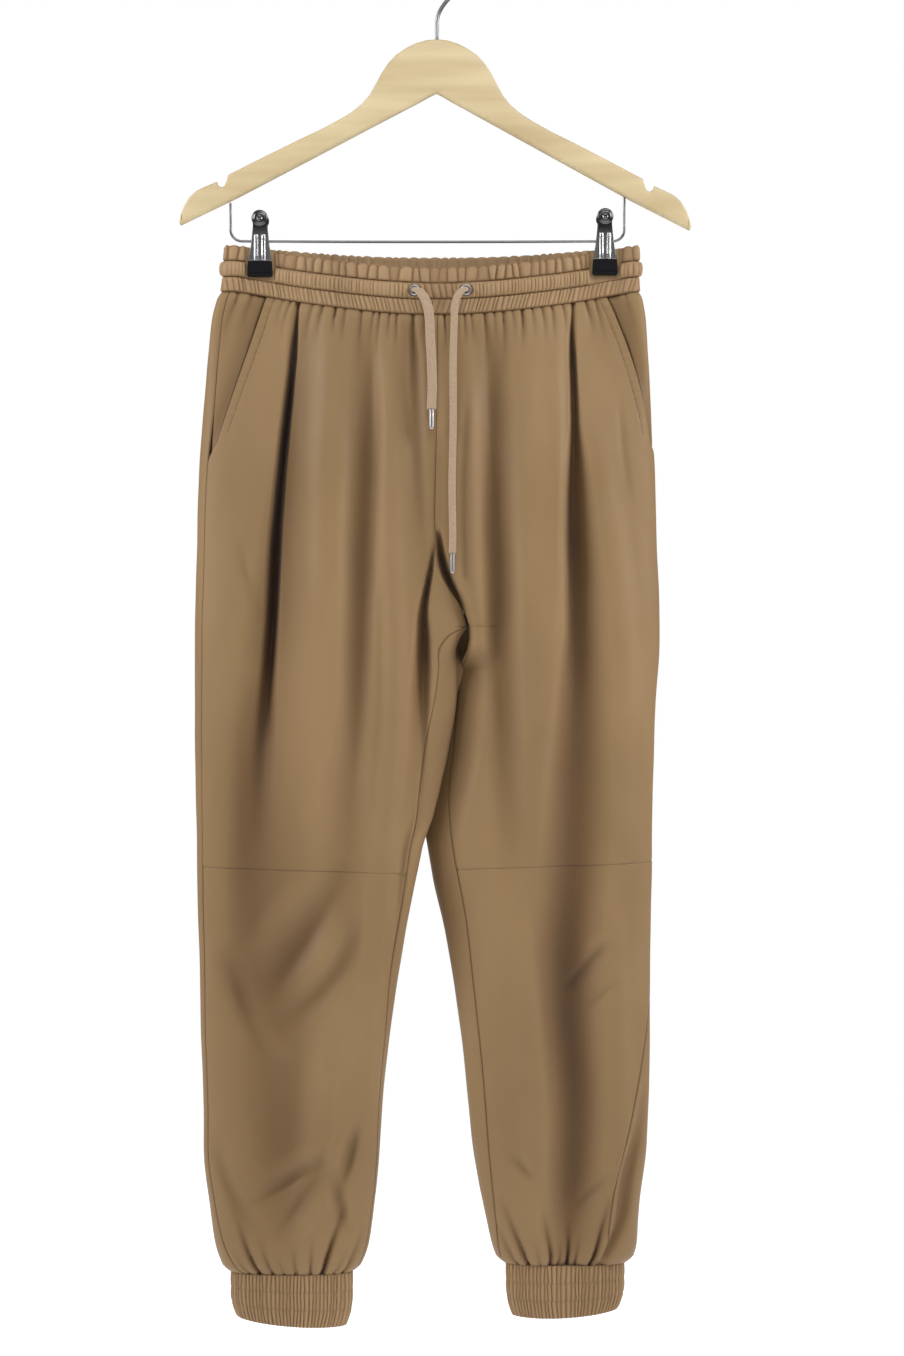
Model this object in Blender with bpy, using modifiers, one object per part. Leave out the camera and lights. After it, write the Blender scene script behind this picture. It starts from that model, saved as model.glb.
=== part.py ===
"""Tan faux leather jogger trousers, hung by two clips on a wooden hanger.

Lengths are in millimetres until a mesh is made.  X runs to the viewer's right, -Y towards the
viewer and Z up, with the origin at the inside top of the hook.  Right and left are the wearer's,
so the right leg is at -X.  A drop is a distance below the top of the waist at its two sides.
"""

import math

import bmesh
import bpy
import numpy as np

PART = "trousers_on_clip_hanger"
CUTTERS = "cutters"
LOOKS = {  # colour, roughness, metallic
    "cloth": ((0.35, 0.22, 0.12), 0.55, 0.0),
    "band": ((0.40, 0.26, 0.15), 0.6, 0.0),
    "cord": ((0.52, 0.37, 0.25), 0.9, 0.0),
    "steel": ((0.6, 0.6, 0.6), 0.3, 1.0),
    "chrome": ((0.7, 0.7, 0.72), 0.12, 1.0),
    "wood": ((0.73, 0.58, 0.33), 0.5, 0.0),
    "rubber": ((0.01, 0.01, 0.01), 0.6, 0.0),
}

MM = 0.001
GAP = 0.3  # between pieces that meet
CLOTH = 1.2  # one layer of faux leather with its backing
BAND_WALL = 2.4  # two layers with elastic between them
CUFF_WALL = 2.2
SHARP_ANGLE = math.radians(50)
EDGE_SEARCH = (1e-6, 0.08, 120)  # first and last step along t, and their number
NORMAL_STEPS = (0.002, 0.5)  # along t and down the drop

WAIST_Z = -246.6  # height of drop 0
BAND_HEIGHT = 40.0
RISE_START = 250.0  # drop at which the centre seams begin to curve under
CROTCH = 330.0
HEM = {"right": 888.0, "left": 880.0}
CUFF_HEIGHT = 42.0
ROUNDNESS = 2.4  # exponent of a cross-section, where 2 is an ellipse
CROTCH_ROUNDNESS = 5.0
CROTCH_EASE = 110.0  # drop over which the inner thigh rounds off
HIP_FULLEST = 0.35  # share of the width, from the inner edge, at which a section is deepest
LEG_FULLEST = 0.5
ROUND_BEND = 2.6  # the furthest t, round the leg and on into its front
WAIST_HALF = 176.0
FRONT_DROOP = (22.4, 1.4)  # sag of the waist between its sides, and how it is spread
BACK_DROOP = (7.5, 0.8)
WAIST_EASE = (45.0, 200.0)  # drops over which the pinched waist opens out
WAIST_CORNER = 40  # how sharply the pinched waist turns at its sides
FOLD_FADE = 0.5  # folds die out where the section is thinner than this share
SIGN = {"right": -1, "left": 1}

CLIP_X = {"right": -153.2, "left": 145.4}
CLIP_LIFT = {"right": 0.0, "left": 1.5}
CLIP_REACH = (14.0, 19.0)  # distances over which the band swells again beside a clip
EYELET_REACH = (5.5, 9.5)
EYELET_X = {"right": -19.2, "left": 25.3}
EYELET_DROP = 19.4  # below the top of the band

# Outline and depth by level: drop, x of right side, x of left side, front depth, back depth.
LEVELS = (
    (0, -184.5, 175.5, 27, 22),
    (40, -187.5, 175.7, 28, 23),
    (60, -193.0, 179.3, 29, 25),
    (90, -197.5, 182.3, 31, 28),
    (135, -201.7, 185.6, 33, 31),
    (195, -205.9, 188.5, 34, 33),
    (265, -208.1, 190.7, 34, 34),
    (330, -209.5, 192.7, 34, 34),
    (352, -209.8, 192.5, 33, 33),
    (394, -209.8, 189.6, 32, 32),
    (472, -209.0, 187.0, 30, 31),
    (541, -207.9, 185.9, 28, 30),
    (597, -206.5, 185.1, 27, 29),
    (669, -204.6, 184.6, 27, 28),
    (740, -202.6, 183.5, 27, 27),
    (795, -201.6, 179.8, 27, 27),
    (820, -198.5, 176.5, 27, 27),
    (845, -194.3, 172.9, 26, 26),
    (870, -187.7, 168.6, 24, 24),
    (888, -179.6, 160.8, 22, 22),
)
# Where the two halves meet, above the crotch: drop, x.
CENTRE_SEAM = (
    (0, 0.0),
    (62, 0.4),
    (160, -0.4),
    (250, -1.5),
    (270, -1.0),
    (285, 3.0),
    (298, 10.8),
    (312, 20.4),
    (330, 27.3),
)
# Inner edge of each leg, below the crotch: drop, x of right leg, x of left leg.
INNER_LEG = (
    (330, 27.15, 27.45),
    (341, 19.5, 27.3),
    (352, 15.5, 25.5),
    (366, 14.3, 21.0),
    (394, 13.6, 15.6),
    (430, 8.0, 10.0),
    (472, -1.0, 1.0),
    (513, -10.9, -8.9),
    (541, -17.0, -4.8),
    (597, -27.6, 7.4),
    (669, -38.6, 19.1),
    (740, -47.3, 26.8),
    (795, -50.5, 33.0),
    (820, -53.0, 37.5),
    (845, -57.0, 44.5),
    (870, -63.5, 52.5),
    (888, -72.5, 60.5),
)
# How far in from the outline the seams run on the front: drop, right side seam, left side seam,
# right inseam, left inseam.  A side seam below nought lies round on the back.
SEAM_INSETS = (
    (40, 7.3, -3.0, 0.0, 0.0),
    (133, 9.6, -3.0, 0.0, 0.0),
    (195, 8.0, -3.0, 0.0, 0.0),
    (330, 7.4, -3.0, 0.0, 0.0),
    (345, 7.3, -3.0, 7.0, 2.0),
    (366, 7.2, -3.0, 14.0, 4.0),
    (428, 6.8, -3.0, 19.0, 8.0),
    (472, 6.3, -3.0, 16.0, 12.0),
    (505, 6.0, -3.0, 12.0, 20.0),
    (541, 5.6, -3.0, 9.0, 22.0),
    (640, 4.8, -1.0, 7.0, 17.0),
    (669, 4.5, 2.0, 5.0, 16.0),
    (740, 4.5, 13.0, 3.0, 15.0),
    (810, 5.0, 24.0, 2.0, 12.0),
    (870, 9.0, 28.0, 2.0, 4.0),
    (888, 12.0, 33.0, 2.0, 2.0),
)
# Half depth of the waist, pinched flat by the clips: share of the half width, front, back.
WAIST_DEPTH = (
    (0.0, 27.0, 22.0),
    (0.25, 25.5, 20.5),
    (0.48, 18.5, 14.5),
    (0.62, 9.5, 8.0),
    (0.70, 4.8, 4.6),
    (0.75, 3.0, 3.0),
    (0.825, 2.9, 2.9),
    (0.90, 3.0, 3.0),
    (0.945, 4.4, 4.4),
    (1.0, 5.0, 5.0),
)
# Slanted pocket openings: drop, x on the right front, x on the left front.
POCKET = ((40, -147.5, 147.0), (52, -151.3, 152.0), (148, -182.0, 181.0), (192, -196.2, 187.2))
POCKET_END = 192.0
FACING_DEPTH = 3.0  # how far the facing lies behind the front
FACING_EASE = (1.0, 14.0)  # distances from the pocket's edge over which it comes forward
FACING_UNDERLAP = 6.0
FACING_CELLS = 5

# Folds: side, half width towards the centre, half width towards the side, then the points of
# the fold's line as x, drop, height.  A height below nought is a trough.
FRONT_FOLDS = (
    ("right", 8, 27, ((-124, 50, -4), (-128, 110, -9), (-133, 210, -11), (-139, 341, -9),
                      (-146, 430, -4), (-151, 524, 0))),
    ("right", 22, 20, ((-97, 60, 1), (-96, 120, 3), (-86, 340, 3), (-84, 470, 0))),
    ("right", 15, 15, ((-62, 70, -1), (-58, 120, -4), (-61, 300, -6), (-70, 400, -5), (-72, 524, 0))),
    ("right", 14, 16, ((-43, 80, 1), (-41, 180, 3), (-35, 340, 4), (-36, 460, 3), (-40, 545, 0))),
    ("right", 9, 9, ((-23, 66, 0), (-18, 100, -3), (-14, 150, 0))),
    ("right", 9, 12, ((-4, 262, 0), (-9, 305, -9), (-11, 345, -11), (-11, 395, -6), (-11, 425, 0))),
    ("left", 10, 24, ((117, 54, -3), (118, 110, -7), (119, 220, -9), (124, 341, -8),
                      (121, 440, -4), (112, 550, -3), (107, 615, 0))),
    ("left", 15, 18, ((46, 90, 0), (48, 160, -4), (51, 330, -5), (55, 400, -3), (56, 450, 0))),
    ("left", 14, 12, ((27, 80, 0), (29, 150, 3), (29, 260, 3), (26, 330, 0))),
    ("left", 20, 22, ((80, 80, 0), (82, 200, 3), (84, 360, 3), (84, 480, 0))),
    ("right", 10, 12, ((-88, 545, 0), (-108, 580, -5), (-128, 612, -6), (-141, 634, 0))),
    ("right", 10, 10, ((-75, 592, 0), (-92, 625, -4), (-106, 650, -4), (-123, 660, 0))),
    ("right", 16, 10, ((-178, 620, 0), (-170, 645, -4), (-152, 678, 0))),
    ("right", 10, 10, ((-70, 762, 0), (-77, 790, -5), (-83, 812, -5), (-84, 840, 0))),
    ("right", 12, 14, ((-92, 780, 0), (-120, 800, -4), (-157, 822, 0))),
    ("right", 9, 12, ((-92, 850, 0), (-97, 870, -5), (-103, 889, -5))),
    ("left", 8, 10, ((144, 602, 0), (130, 620, -3), (116, 637, 0))),
    ("left", 12, 16, ((118, 640, 0), (122, 700, -3), (120, 780, -4), (113, 850, 0))),
)
BACK_FOLDS = (
    ("right", 26, 26, ((-128, 60, 0), (-132, 130, -6), (-136, 260, -6), (-140, 400, 0))),
    ("right", 26, 26, ((-62, 60, 0), (-60, 160, -5), (-52, 300, -7), (-60, 420, 0))),
    ("right", 28, 28, ((-92, 120, 0), (-96, 260, 3), (-98, 420, 3), (-100, 520, 0))),
    ("right", 24, 24, ((-60, 560, 0), (-100, 600, -4), (-150, 630, 0))),
    ("right", 24, 24, ((-90, 700, 0), (-112, 770, -4), (-120, 850, 0))),
    ("left", 26, 26, ((112, 60, 0), (118, 130, -6), (126, 260, -6), (128, 400, 0))),
    ("left", 26, 26, ((58, 60, 0), (62, 160, -5), (70, 300, -6), (72, 420, 0))),
    ("left", 28, 28, ((90, 120, 0), (94, 260, 3), (100, 420, 3), (98, 520, 0))),
    ("left", 24, 24, ((40, 580, 0), (82, 612, -4), (130, 640, 0))),
    ("left", 24, 24, ((84, 700, 0), (100, 770, -4), (104, 850, 0))),
)
# Columns of the upper fronts follow the main folds: x at the band, at the crotch and at the
# knee, then the number of cells from the line before.  The last line is the outer edge.
FRONT_LINES = {
    "right": ((-14, -11, -32, 2), (-42, -35, -42, 2), (-59, -62, -72, 2), (-96, -86, -88, 2),
              (-116, -130, -136, 2), (-124, -138, -145, 2), (-138, -165, -178, 2)),
    "left": ((28, 42, 26, 2), (46, 55, 56, 2), (80, 84, 84, 2), (107, 114, 103, 2),
             (117, 124, 112, 2), (130, 148, 146, 3)),
}
LAST_CELLS = 3
BACK_CELLS = 8
BACK_EDGE_CELLS = 2
EDGE_STRIP = 0.12  # share of the back, along t, in its edge columns
LOWER_CELLS = 14
PANEL_GATHER = 1.5
WAIST_GATHER_LENGTH = 70.0
HEM_GATHER = 2.8
HEM_GATHER_DROPS = (810, 865, 870, 888)  # where they start, are full, and begin and end closing
HEM_CLOSING = 0.6
CROTCH_TURNS = (15, 30, 45, 60, 75, 90)  # degrees along the curve under the crotch
UPPER_DROPS = (40, 58, 85, 120, 150, 175, 191, 194, 225, 250)
THIGH_DROPS = (334, 341, 354, 375, 405, 440, 475, 510)
KNEE = 541.0
KNEE_SLOPE = {"right": (2.5, -4.0), "left": (-1.5, -10.0)}  # drop added at inseam, side seam
SHIN_DROPS = (580, 625, 670, 715, 760, 800, 830, 855, 875)

WAIST_GATHERS = 32  # on each of the front and back band
BAND_END = 0.012  # along t, from the end of a band to the side
BAND_SAMPLES = 400  # along each half of a band, to find even lengths
CUFF_GATHERS = 36  # round each cuff
CUFF_SAMPLES = 1440
# Rows of the band: drop below its top, swell of the row, height of the gathers.
BAND_ROWS = (
    (0.0, 0.0, 1.4),
    (13.4, 0.0, 0.7),
    (20.0, 3.2, 1.0),
    (26.6, 0.0, 0.7),
    (33.2, 1.2, 1.0),
    (40.0, 0.0, 0.6),
)
# Cuffs: drop below the top, share of the width, swell, height of the ribs.
CUFF_ROWS = ((0.0, 1.0, 0.0, 0.7), (14.0, 1.0, 0.3, 1.0), (28.0, 0.985, 0.3, 1.0),
             (42.0, 0.9, 0.0, 0.7))
# Middle, half width and half depth of each cuff, then how far its two ends hang lower.
CUFFS = {
    "right": (-125.3, 52.6, 21.5, 3.0, 8.0),
    "left": (110.6, 51.0, 21.5, 3.5, -6.0),
}

HANGER_TILT = math.radians(-0.58)
WOOD_THICKNESS = 12.0
WOOD_ROUNDING = 2.5
WOOD_APEX_Z = -114.0
# Half of the wooden arm's outline from its top to the underside: x, z.
WOOD_OUTLINE = (
    (0, -68.0), (9, -68.9), (18, -71.6), (26.5, -75.8), (35, -81.6), (41.7, -88.8), (47.6, -97.6),
    (53, -107.9), (57.8, -116.6), (64.3, -124.4), (73.5, -132), (85, -139), (100, -147.2),
    (117.5, -155.6), (146.8, -170.3), (165, -179.7), (179.6, -187.3), (180.6, -191.5),
    (182.4, -196.4), (185.2, -198.2), (188.2, -196.6), (189.3, -193.2), (198, -197),
    (206.6, -201.1), (212.5, -206.4), (217, -213.6), (220.4, -222.5), (222.5, -231.6),
    (198, -219.4), (171.5, -206.3), (118, -177.6), (60, -146.3), (14, -121.6), (6, -117),
)
WOOD_EDGE_ANGLE = math.radians(60)  # edges sharper than this are rounded
WELD_MM = 0.01
WIRE_RADIUS = 1.7
WIRE_FACES = 2  # Blender's count for the roundness of a wire
HOOK_RADIUS = 22.0
HOOK_STEM = ((0.0, -67.7), (0.0, -58.0), (0.2, -50.0), (2.6, -42.6), (8.7, -33.8), (16.0, -26.8))
HOOK_ANGLES = range(5, 206, 20)  # degrees round the hook, up from its right
HOOK_POINTS = 28
BAR_RADIUS = 1.1
BAR_X = (-179.0, 162.4)
BAR_Z = -242.4
BAR_CORNER = 10.0
BAR_CORNER_ANGLES = (0, 22.5, 45, 67.5, 90)
ROUTE_SAMPLES = 600

# A clip's leaf from its finger disc to its jaw: z, distance from the middle, half width.
LEAF = (
    (-217.1, 10.6, 2.2),
    (-218.5, 10.3, 4.8),
    (-221.3, 9.9, 6.7),
    (-224.5, 9.4, 7.0),
    (-228.2, 8.8, 6.5),
    (-232.0, 8.2, 6.7),
    (-241.0, 7.2, 7.2),
    (-250.0, 6.6, 8.4),
    (-260.0, 6.2, 10.1),
)
LEAF_THICKNESS = 1.0
EAR_TOP_Z = -236.0
EAR_BOTTOM_Z = -247.4
EAR_X = 6.0
EAR_REACH = 7.0
BAR_HOLE_LENGTH = 30.0
HOLE_SIDES = 16
PAD_Z = (-260.3, -274.2)
PAD_HALF_WIDTHS = (10.4, 11.2)
PAD_Y = (3.3, 7.4)

EYELET_RADIUS = 3.9  # middle of the ring
EYELET_WIRE = 1.1
EYELET_FLATNESS = 0.7
EYELET_SIDES = (16, 5)  # round the ring and round its wire
CORD_RADIUS = 2.2
TIP_RADIUS = 2.3
TIP_LENGTH = 17.0
TIP_SIDES = 14
# Free drawcords from the eyelet to the tip: x, y, z.
CORD_ROUTES = {
    "right": ((-19.2, -28.0, -288.0), (-18.6, -31.6, -288.0), (-15.6, -35.6, -289.8),
              (-11.4, -38.0, -294.8), (-8.0, -39.4, -303.0), (-6.2, -40.2, -313.0),
              (-5.2, -40.4, -330.0), (-4.2, -40.4, -362.0), (-4.4, -40.2, -391.6)),
    "left": ((25.3, -27.8, -287.8), (24.7, -31.6, -287.8), (21.4, -35.6, -289.8),
             (17.4, -38.2, -295.4), (15.2, -39.8, -304.0), (14.8, -40.6, -316.0),
             (13.9, -41.0, -380.0), (13.4, -41.0, -450.0), (13.4, -41.0, -514.6)),
}
CORD_POINTS = {"right": 14, "left": 26}


def smooth(table, column, at):
    """A smooth curve through one column of a table whose first column rises."""
    knots = np.array([row[0] for row in table], float)
    values = np.array([row[column] for row in table], float)
    slopes = np.gradient(values, knots)
    at = np.clip(at, knots[0], knots[-1])
    i = np.clip(np.searchsorted(knots, at) - 1, 0, len(knots) - 2)
    span = knots[i + 1] - knots[i]
    q = (at - knots[i]) / span
    start = values[i] * (1 + 2 * q) * (1 - q) ** 2 + slopes[i] * span * q * (1 - q) ** 2
    end = values[i + 1] * q * q * (3 - 2 * q) + slopes[i + 1] * span * q * q * (q - 1)
    return start + end


def ease(value, low, high):
    """0 up to low, 1 from high on, and an even bend between them."""
    q = np.clip((value - low) / (high - low), 0, 1)
    return q * q * (3 - 2 * q)


# The cloth's form


def outer_x(side, drop):
    return smooth(LEVELS, 1 if side == "right" else 2, drop)


def inner_x(side, drop):
    """The centre seam above the crotch and the leg's inner edge below it."""
    centre = smooth(CENTRE_SEAM, 1, drop) + SIGN[side] * GAP / 2
    leg = smooth(INNER_LEG, 1 if side == "right" else 2, drop)
    return np.where(drop <= CROTCH, centre, leg)


def rise(drop):
    """1 where the two halves are joined, down to 0 at the crotch, along a round curve."""
    share = np.clip((drop - RISE_START) / (CROTCH - RISE_START), 0, 1)
    return np.sqrt(1 - share**2)


def inner_roundness(drop):
    """The inner side of a section is squarer at the crotch than down the leg."""
    eased = ease(drop, CROTCH, CROTCH + CROTCH_EASE)
    return CROTCH_ROUNDNESS + (ROUNDNESS - CROTCH_ROUNDNESS) * eased


def closing(drop):
    """How far round the inner side of a section has come: 0 at the hip, 1 on the leg."""
    power = inner_roundness(drop)
    return (1 - rise(drop) ** power) ** (1 / power)


def fullest(drop):
    """Share of the width from the inner edge at which a section is deepest."""
    return HIP_FULLEST + (LEG_FULLEST - HIP_FULLEST) * ease(drop, RISE_START, CROTCH)


def station(side, drop, x):
    """The place round a section, 0 at its inner edge to 1 at its outer edge, of an x."""
    share = (x - inner_x(side, drop)) / (outer_x(side, drop) - inner_x(side, drop))
    share = np.clip(share, 0, 1)
    middle = fullest(drop)
    bend = closing(drop) ** 4
    outward = 1 - np.sqrt(1 - np.clip((share - middle) / (1 - middle), 0, 1))
    inward = np.clip((middle - share) / middle, 0, 1)
    root = np.sqrt(np.maximum((1 + bend) ** 2 - 4 * bend * inward, 0))
    inward = 2 * inward / (1 + bend + root)
    return np.where(share > middle, 0.5 + outward / 2, 0.5 - inward / 2)


def droop(x, front):
    """How far the waist hangs between its sides."""
    share = np.clip(1 - (x / WAIST_HALF) ** 2, 0, 1)
    front_sag = FRONT_DROOP[0] * share ** FRONT_DROOP[1]
    return np.where(front, front_sag, BACK_DROOP[0] * share ** BACK_DROOP[1])


def fold(row, x, drop):
    """Height of one fold at each point of the cloth."""
    side, inward, outward, line = row
    nearest = np.full(np.shape(x), np.inf)
    height = np.zeros(np.shape(x))
    for (x0, drop0, height0), (x1, drop1, height1) in zip(line[:-1], line[1:]):
        run_x, run_drop = x1 - x0, drop1 - drop0
        along = ((x - x0) * run_x + (drop - drop0) * run_drop) / (run_x**2 + run_drop**2)
        along = np.clip(along, 0, 1)
        off_x = x - x0 - along * run_x
        distance = np.hypot(off_x, drop - drop0 - along * run_drop)
        width = np.where(off_x * SIGN[side] > 0, outward, inward)
        across = 0.5 + 0.5 * np.cos(math.pi * np.clip(distance / width, 0, 1))
        closer = distance < nearest
        height = np.where(closer, (height0 + along * (height1 - height0)) * across, height)
        nearest = np.where(closer, distance, nearest)
    return height


def cloth_point(side, t, drop):
    """A point of the cloth's outer face.  t runs from the centre front or inseam (0) round the
    side (1) to the centre back or inseam (2), and below the crotch on into the front again."""
    t = np.where(t > 2, t - 2, t)
    front = t <= 1
    u = np.where(front, t, 2 - t)
    middle = fullest(drop)
    closed = closing(drop)
    q = np.abs(2 * u - 1)
    outward = 1 - (1 - q) ** 2
    inward = (1 - closed**4) * q + closed**4 * outward
    share = np.where(u > 0.5, middle + (1 - middle) * outward, middle * (1 - inward))
    x = inner_x(side, drop) + (outer_x(side, drop) - inner_x(side, drop)) * share
    reach = np.where(u > 0.5, outward, closed * inward)
    power = np.where(u > 0.5, ROUNDNESS, inner_roundness(drop))
    fullness = np.maximum(1 - reach**power, 0) ** (1 / power)
    depth = np.where(front, smooth(LEVELS, 3, drop), smooth(LEVELS, 4, drop)) * fullness
    waist = np.where(front, smooth(WAIST_DEPTH, 1, share), smooth(WAIST_DEPTH, 2, share))
    waist = waist * np.sqrt(np.maximum(1 - share**WAIST_CORNER, 0))
    depth = depth + (waist - depth) * (1 - ease(drop, *WAIST_EASE))
    level = drop + droop(x, front) * (1 - ease(drop, BAND_HEIGHT, RISE_START))
    height = np.zeros(np.shape(x))
    for rows, shown in ((FRONT_FOLDS, front), (BACK_FOLDS, ~front)):
        for row in rows:
            if row[0] == side:
                height = height + np.where(shown, fold(row, x, level), 0)
    depth = depth + height * np.clip(fullness / FOLD_FADE, 0, 1)
    return np.stack([x, np.where(front, -depth, depth), WAIST_Z - level], axis=-1)


def outward_normal(side, t, drop):
    """The direction out of the cloth, from steps along the section and down the leg."""
    step, down = NORMAL_STEPS
    limit = np.where(drop > CROTCH, ROUND_BEND, 2)
    along = cloth_point(side, np.minimum(t + step, limit), drop)
    along = along - cloth_point(side, np.maximum(t - step, 0), drop)
    lower = cloth_point(side, t, drop + down) - cloth_point(side, t, np.maximum(drop - down, 0))
    normal = np.cross(along, lower) * -SIGN[side]
    return normal / np.linalg.norm(normal, axis=-1, keepdims=True)


def level_normal(normal):
    """The same direction turned level, so that rows meet edge to edge."""
    level = normal * (1, 1, 0)
    return level / np.linalg.norm(level, axis=-1, keepdims=True)


def side_seam(side, drop):
    inset = smooth(SEAM_INSETS, 1 if side == "right" else 2, drop)
    at = station(side, drop, outer_x(side, drop) - SIGN[side] * np.abs(inset))
    return np.where(inset > 0, at, 2 - at)


def inseam(side, drop):
    inset = smooth(SEAM_INSETS, 3 if side == "right" else 4, drop)
    at = station(side, drop, inner_x(side, drop) + SIGN[side] * np.maximum(inset, 0))
    return np.where(drop > CROTCH, at, 0)


def pocket_edge(side, drop):
    return station(side, drop, smooth(POCKET, 1 if side == "right" else 2, drop))


def step_in(side, t, drop, way):
    """Moves an edge half a gap into its own panel; way is +1 or -1 along t."""
    steps = np.concatenate([[0], np.geomspace(*EDGE_SEARCH)])
    t_steps = t[:, None] + way * steps[None, :]
    drops = np.broadcast_to(drop[:, None], t_steps.shape)
    points = cloth_point(side, np.clip(t_steps, 0, ROUND_BEND), drops)
    lengths = np.linalg.norm(np.diff(points, axis=1), axis=-1).cumsum(axis=1)
    lengths = np.concatenate([np.zeros((len(t), 1)), lengths], axis=1)
    moved = [np.interp(GAP / 2, row, steps) for row in lengths]
    return t + way * np.array(moved)


# Meshes and materials


def material(name, colour, roughness, metallic=0.0):
    made = bpy.data.materials.new(name)
    made.use_nodes = True
    shader = made.node_tree.nodes["Principled BSDF"]
    shader.inputs["Base Color"].default_value = (*colour, 1)
    shader.inputs["Roughness"].default_value = roughness
    shader.inputs["Metallic"].default_value = metallic
    made.diffuse_color = (*colour, 1)
    return made


def new_object(name, data, look):
    """Adds an object to the part's collection.  Each piece has a material of its own."""
    made = bpy.data.objects.new(name, data)
    colour, roughness, metallic = LOOKS[look]
    data.materials.append(material(name, colour, roughness, metallic))
    bpy.data.collections[PART].objects.link(made)
    return made


def wall(name, outer, inner, look, ring=False):
    """A closed wall between two grids of points.  A ring joins its last column to its first."""
    rows, columns = outer.shape[:2]
    count = rows * columns
    points = np.concatenate([outer.reshape(-1, 3), inner.reshape(-1, 3)]) * MM
    faces = []

    def quad(a, b, c, d):
        faces.extend([(a, b, c), (a, c, d)])

    def at(row, column, layer=0):
        return layer * count + row * columns + column % columns

    cells = columns if ring else columns - 1
    for row in range(rows - 1):
        for column in range(cells):
            corners = [(row, column), (row, column + 1), (row + 1, column + 1), (row + 1, column)]
            quad(*[at(*corner) for corner in corners])
            quad(*[at(*corners[i], 1) for i in (0, 3, 2, 1)])
    for row in (0, rows - 1):
        for column in range(cells):
            quad(at(row, column), at(row, column, 1), at(row, column + 1, 1), at(row, column + 1))
    if not ring:
        for column in (0, columns - 1):
            for row in range(rows - 1):
                quad(at(row, column), at(row, column, 1), at(row + 1, column, 1), at(row + 1, column))
    mesh = bpy.data.meshes.new(name)
    mesh.from_pydata([tuple(point) for point in points], [], faces)
    shape = bmesh.new()
    shape.from_mesh(mesh)
    bmesh.ops.recalc_face_normals(shape, faces=shape.faces[:])
    shape.to_mesh(mesh)
    shape.free()
    mesh.shade_smooth()
    mesh.set_sharp_from_angle(angle=SHARP_ANGLE)
    return new_object(name, mesh, look)


def panel(name, side, t, drop, look, gathers=0.0, depth=0.0):
    """A cut piece of cloth over a grid of t and drop, with a ripple in every other column."""
    ripple = np.zeros(t.shape[1])
    ripple[1:-1:2] = 1
    normal = outward_normal(side, t, drop)
    normal[[0, -1]] = level_normal(normal[[0, -1]])
    lift = (gathers * ripple[None, :] - depth)[..., None]
    outer = cloth_point(side, t, drop) + normal * lift
    wall(name, outer, outer - normal * CLOTH, look)


def between(first, last, cells):
    """Columns from one edge to another, for every row."""
    share = np.linspace(0, 1, cells + 1)
    return first[:, None] + (last - first)[:, None] * share[None, :]


def front_columns(side, drop, inner, outer):
    """Columns that follow the main folds of an upper front."""
    stops = [inner]
    cells = []
    for at_band, at_crotch, at_knee, count in FRONT_LINES[side]:
        x = np.interp(drop, (BAND_HEIGHT, CROTCH, KNEE), (at_band, at_crotch, at_knee))
        stops.append(station(side, drop, x))
        cells.append(count)
    stops.append(outer)
    cells.append(LAST_CELLS)
    parts = [between(a, b, n)[:, :-1] for a, b, n in zip(stops[:-1], stops[1:], cells)]
    return np.concatenate([*parts, outer[:, None]], axis=1)


def upper_drops():
    curve = [RISE_START + (CROTCH - RISE_START) * math.sin(math.radians(a)) for a in CROTCH_TURNS]
    return np.array([*UPPER_DROPS, *curve, *THIGH_DROPS, KNEE], float)


def waist_gathers(drop):
    """Height of the gathers that run down from the band."""
    return PANEL_GATHER * (1 - ease(drop, BAND_HEIGHT, BAND_HEIGHT + WAIST_GATHER_LENGTH))


def hem_gathers(drop):
    """Height of the gathers that swell above a cuff and close into it."""
    start, full, closing_from, closed_at = HEM_GATHER_DROPS
    closed = HEM_CLOSING * ease(drop, closing_from, closed_at)
    return HEM_GATHER * ease(drop, start, full) * (1 - closed)


def make_upper_front(side):
    drop = upper_drops()
    drop[0] += GAP
    inner = step_in(side, inseam(side, drop), drop, 1)
    outer = side_seam(side, drop)
    above = drop < POCKET_END
    outer = np.where(above, np.minimum(pocket_edge(side, drop), outer), outer)
    outer = step_in(side, outer, drop, -1)
    t = front_columns(side, drop, inner, outer)
    share = (t - inner[:, None]) / (outer - inner)[:, None]
    slope = KNEE_SLOPE[side][0] + (KNEE_SLOPE[side][1] - KNEE_SLOPE[side][0]) * share
    grid = np.broadcast_to(drop[:, None], t.shape).copy()
    grid[-1] += slope[-1] - GAP / 2
    panel(f"front_upper_{side}", side, t, grid, "cloth", waist_gathers(grid))


def make_lower_front(side):
    drop = np.array([KNEE, *SHIN_DROPS, HEM[side] - GAP], float)
    inner = step_in(side, inseam(side, drop), drop, 1)
    outer = step_in(side, side_seam(side, drop), drop, -1)
    t = between(inner, outer, LOWER_CELLS)
    share = np.linspace(0, 1, LOWER_CELLS + 1)
    slope = KNEE_SLOPE[side][0] + (KNEE_SLOPE[side][1] - KNEE_SLOPE[side][0]) * share
    grid = np.broadcast_to(drop[:, None], t.shape).copy()
    grid[0] += slope + GAP / 2
    panel(f"front_lower_{side}", side, t, grid, "cloth", hem_gathers(grid))


def make_back(side):
    drop = np.concatenate([upper_drops(), SHIN_DROPS, [HEM[side] - GAP]])
    drop[0] += GAP
    first = step_in(side, side_seam(side, drop), drop, 1)
    wrap = inseam(side, drop)
    last = step_in(side, 2 + wrap, drop, -1)
    # A column runs down the inner edge of the leg, where the cloth turns to the front.
    turn = last - np.maximum(wrap, EDGE_STRIP)
    t = np.concatenate([between(first, turn, BACK_CELLS)[:, :-1],
                        between(turn, last, BACK_EDGE_CELLS)], axis=1)
    grid = np.broadcast_to(drop[:, None], t.shape)
    panel(f"back_{side}", side, t, grid, "cloth", waist_gathers(grid) + hem_gathers(grid))


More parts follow.
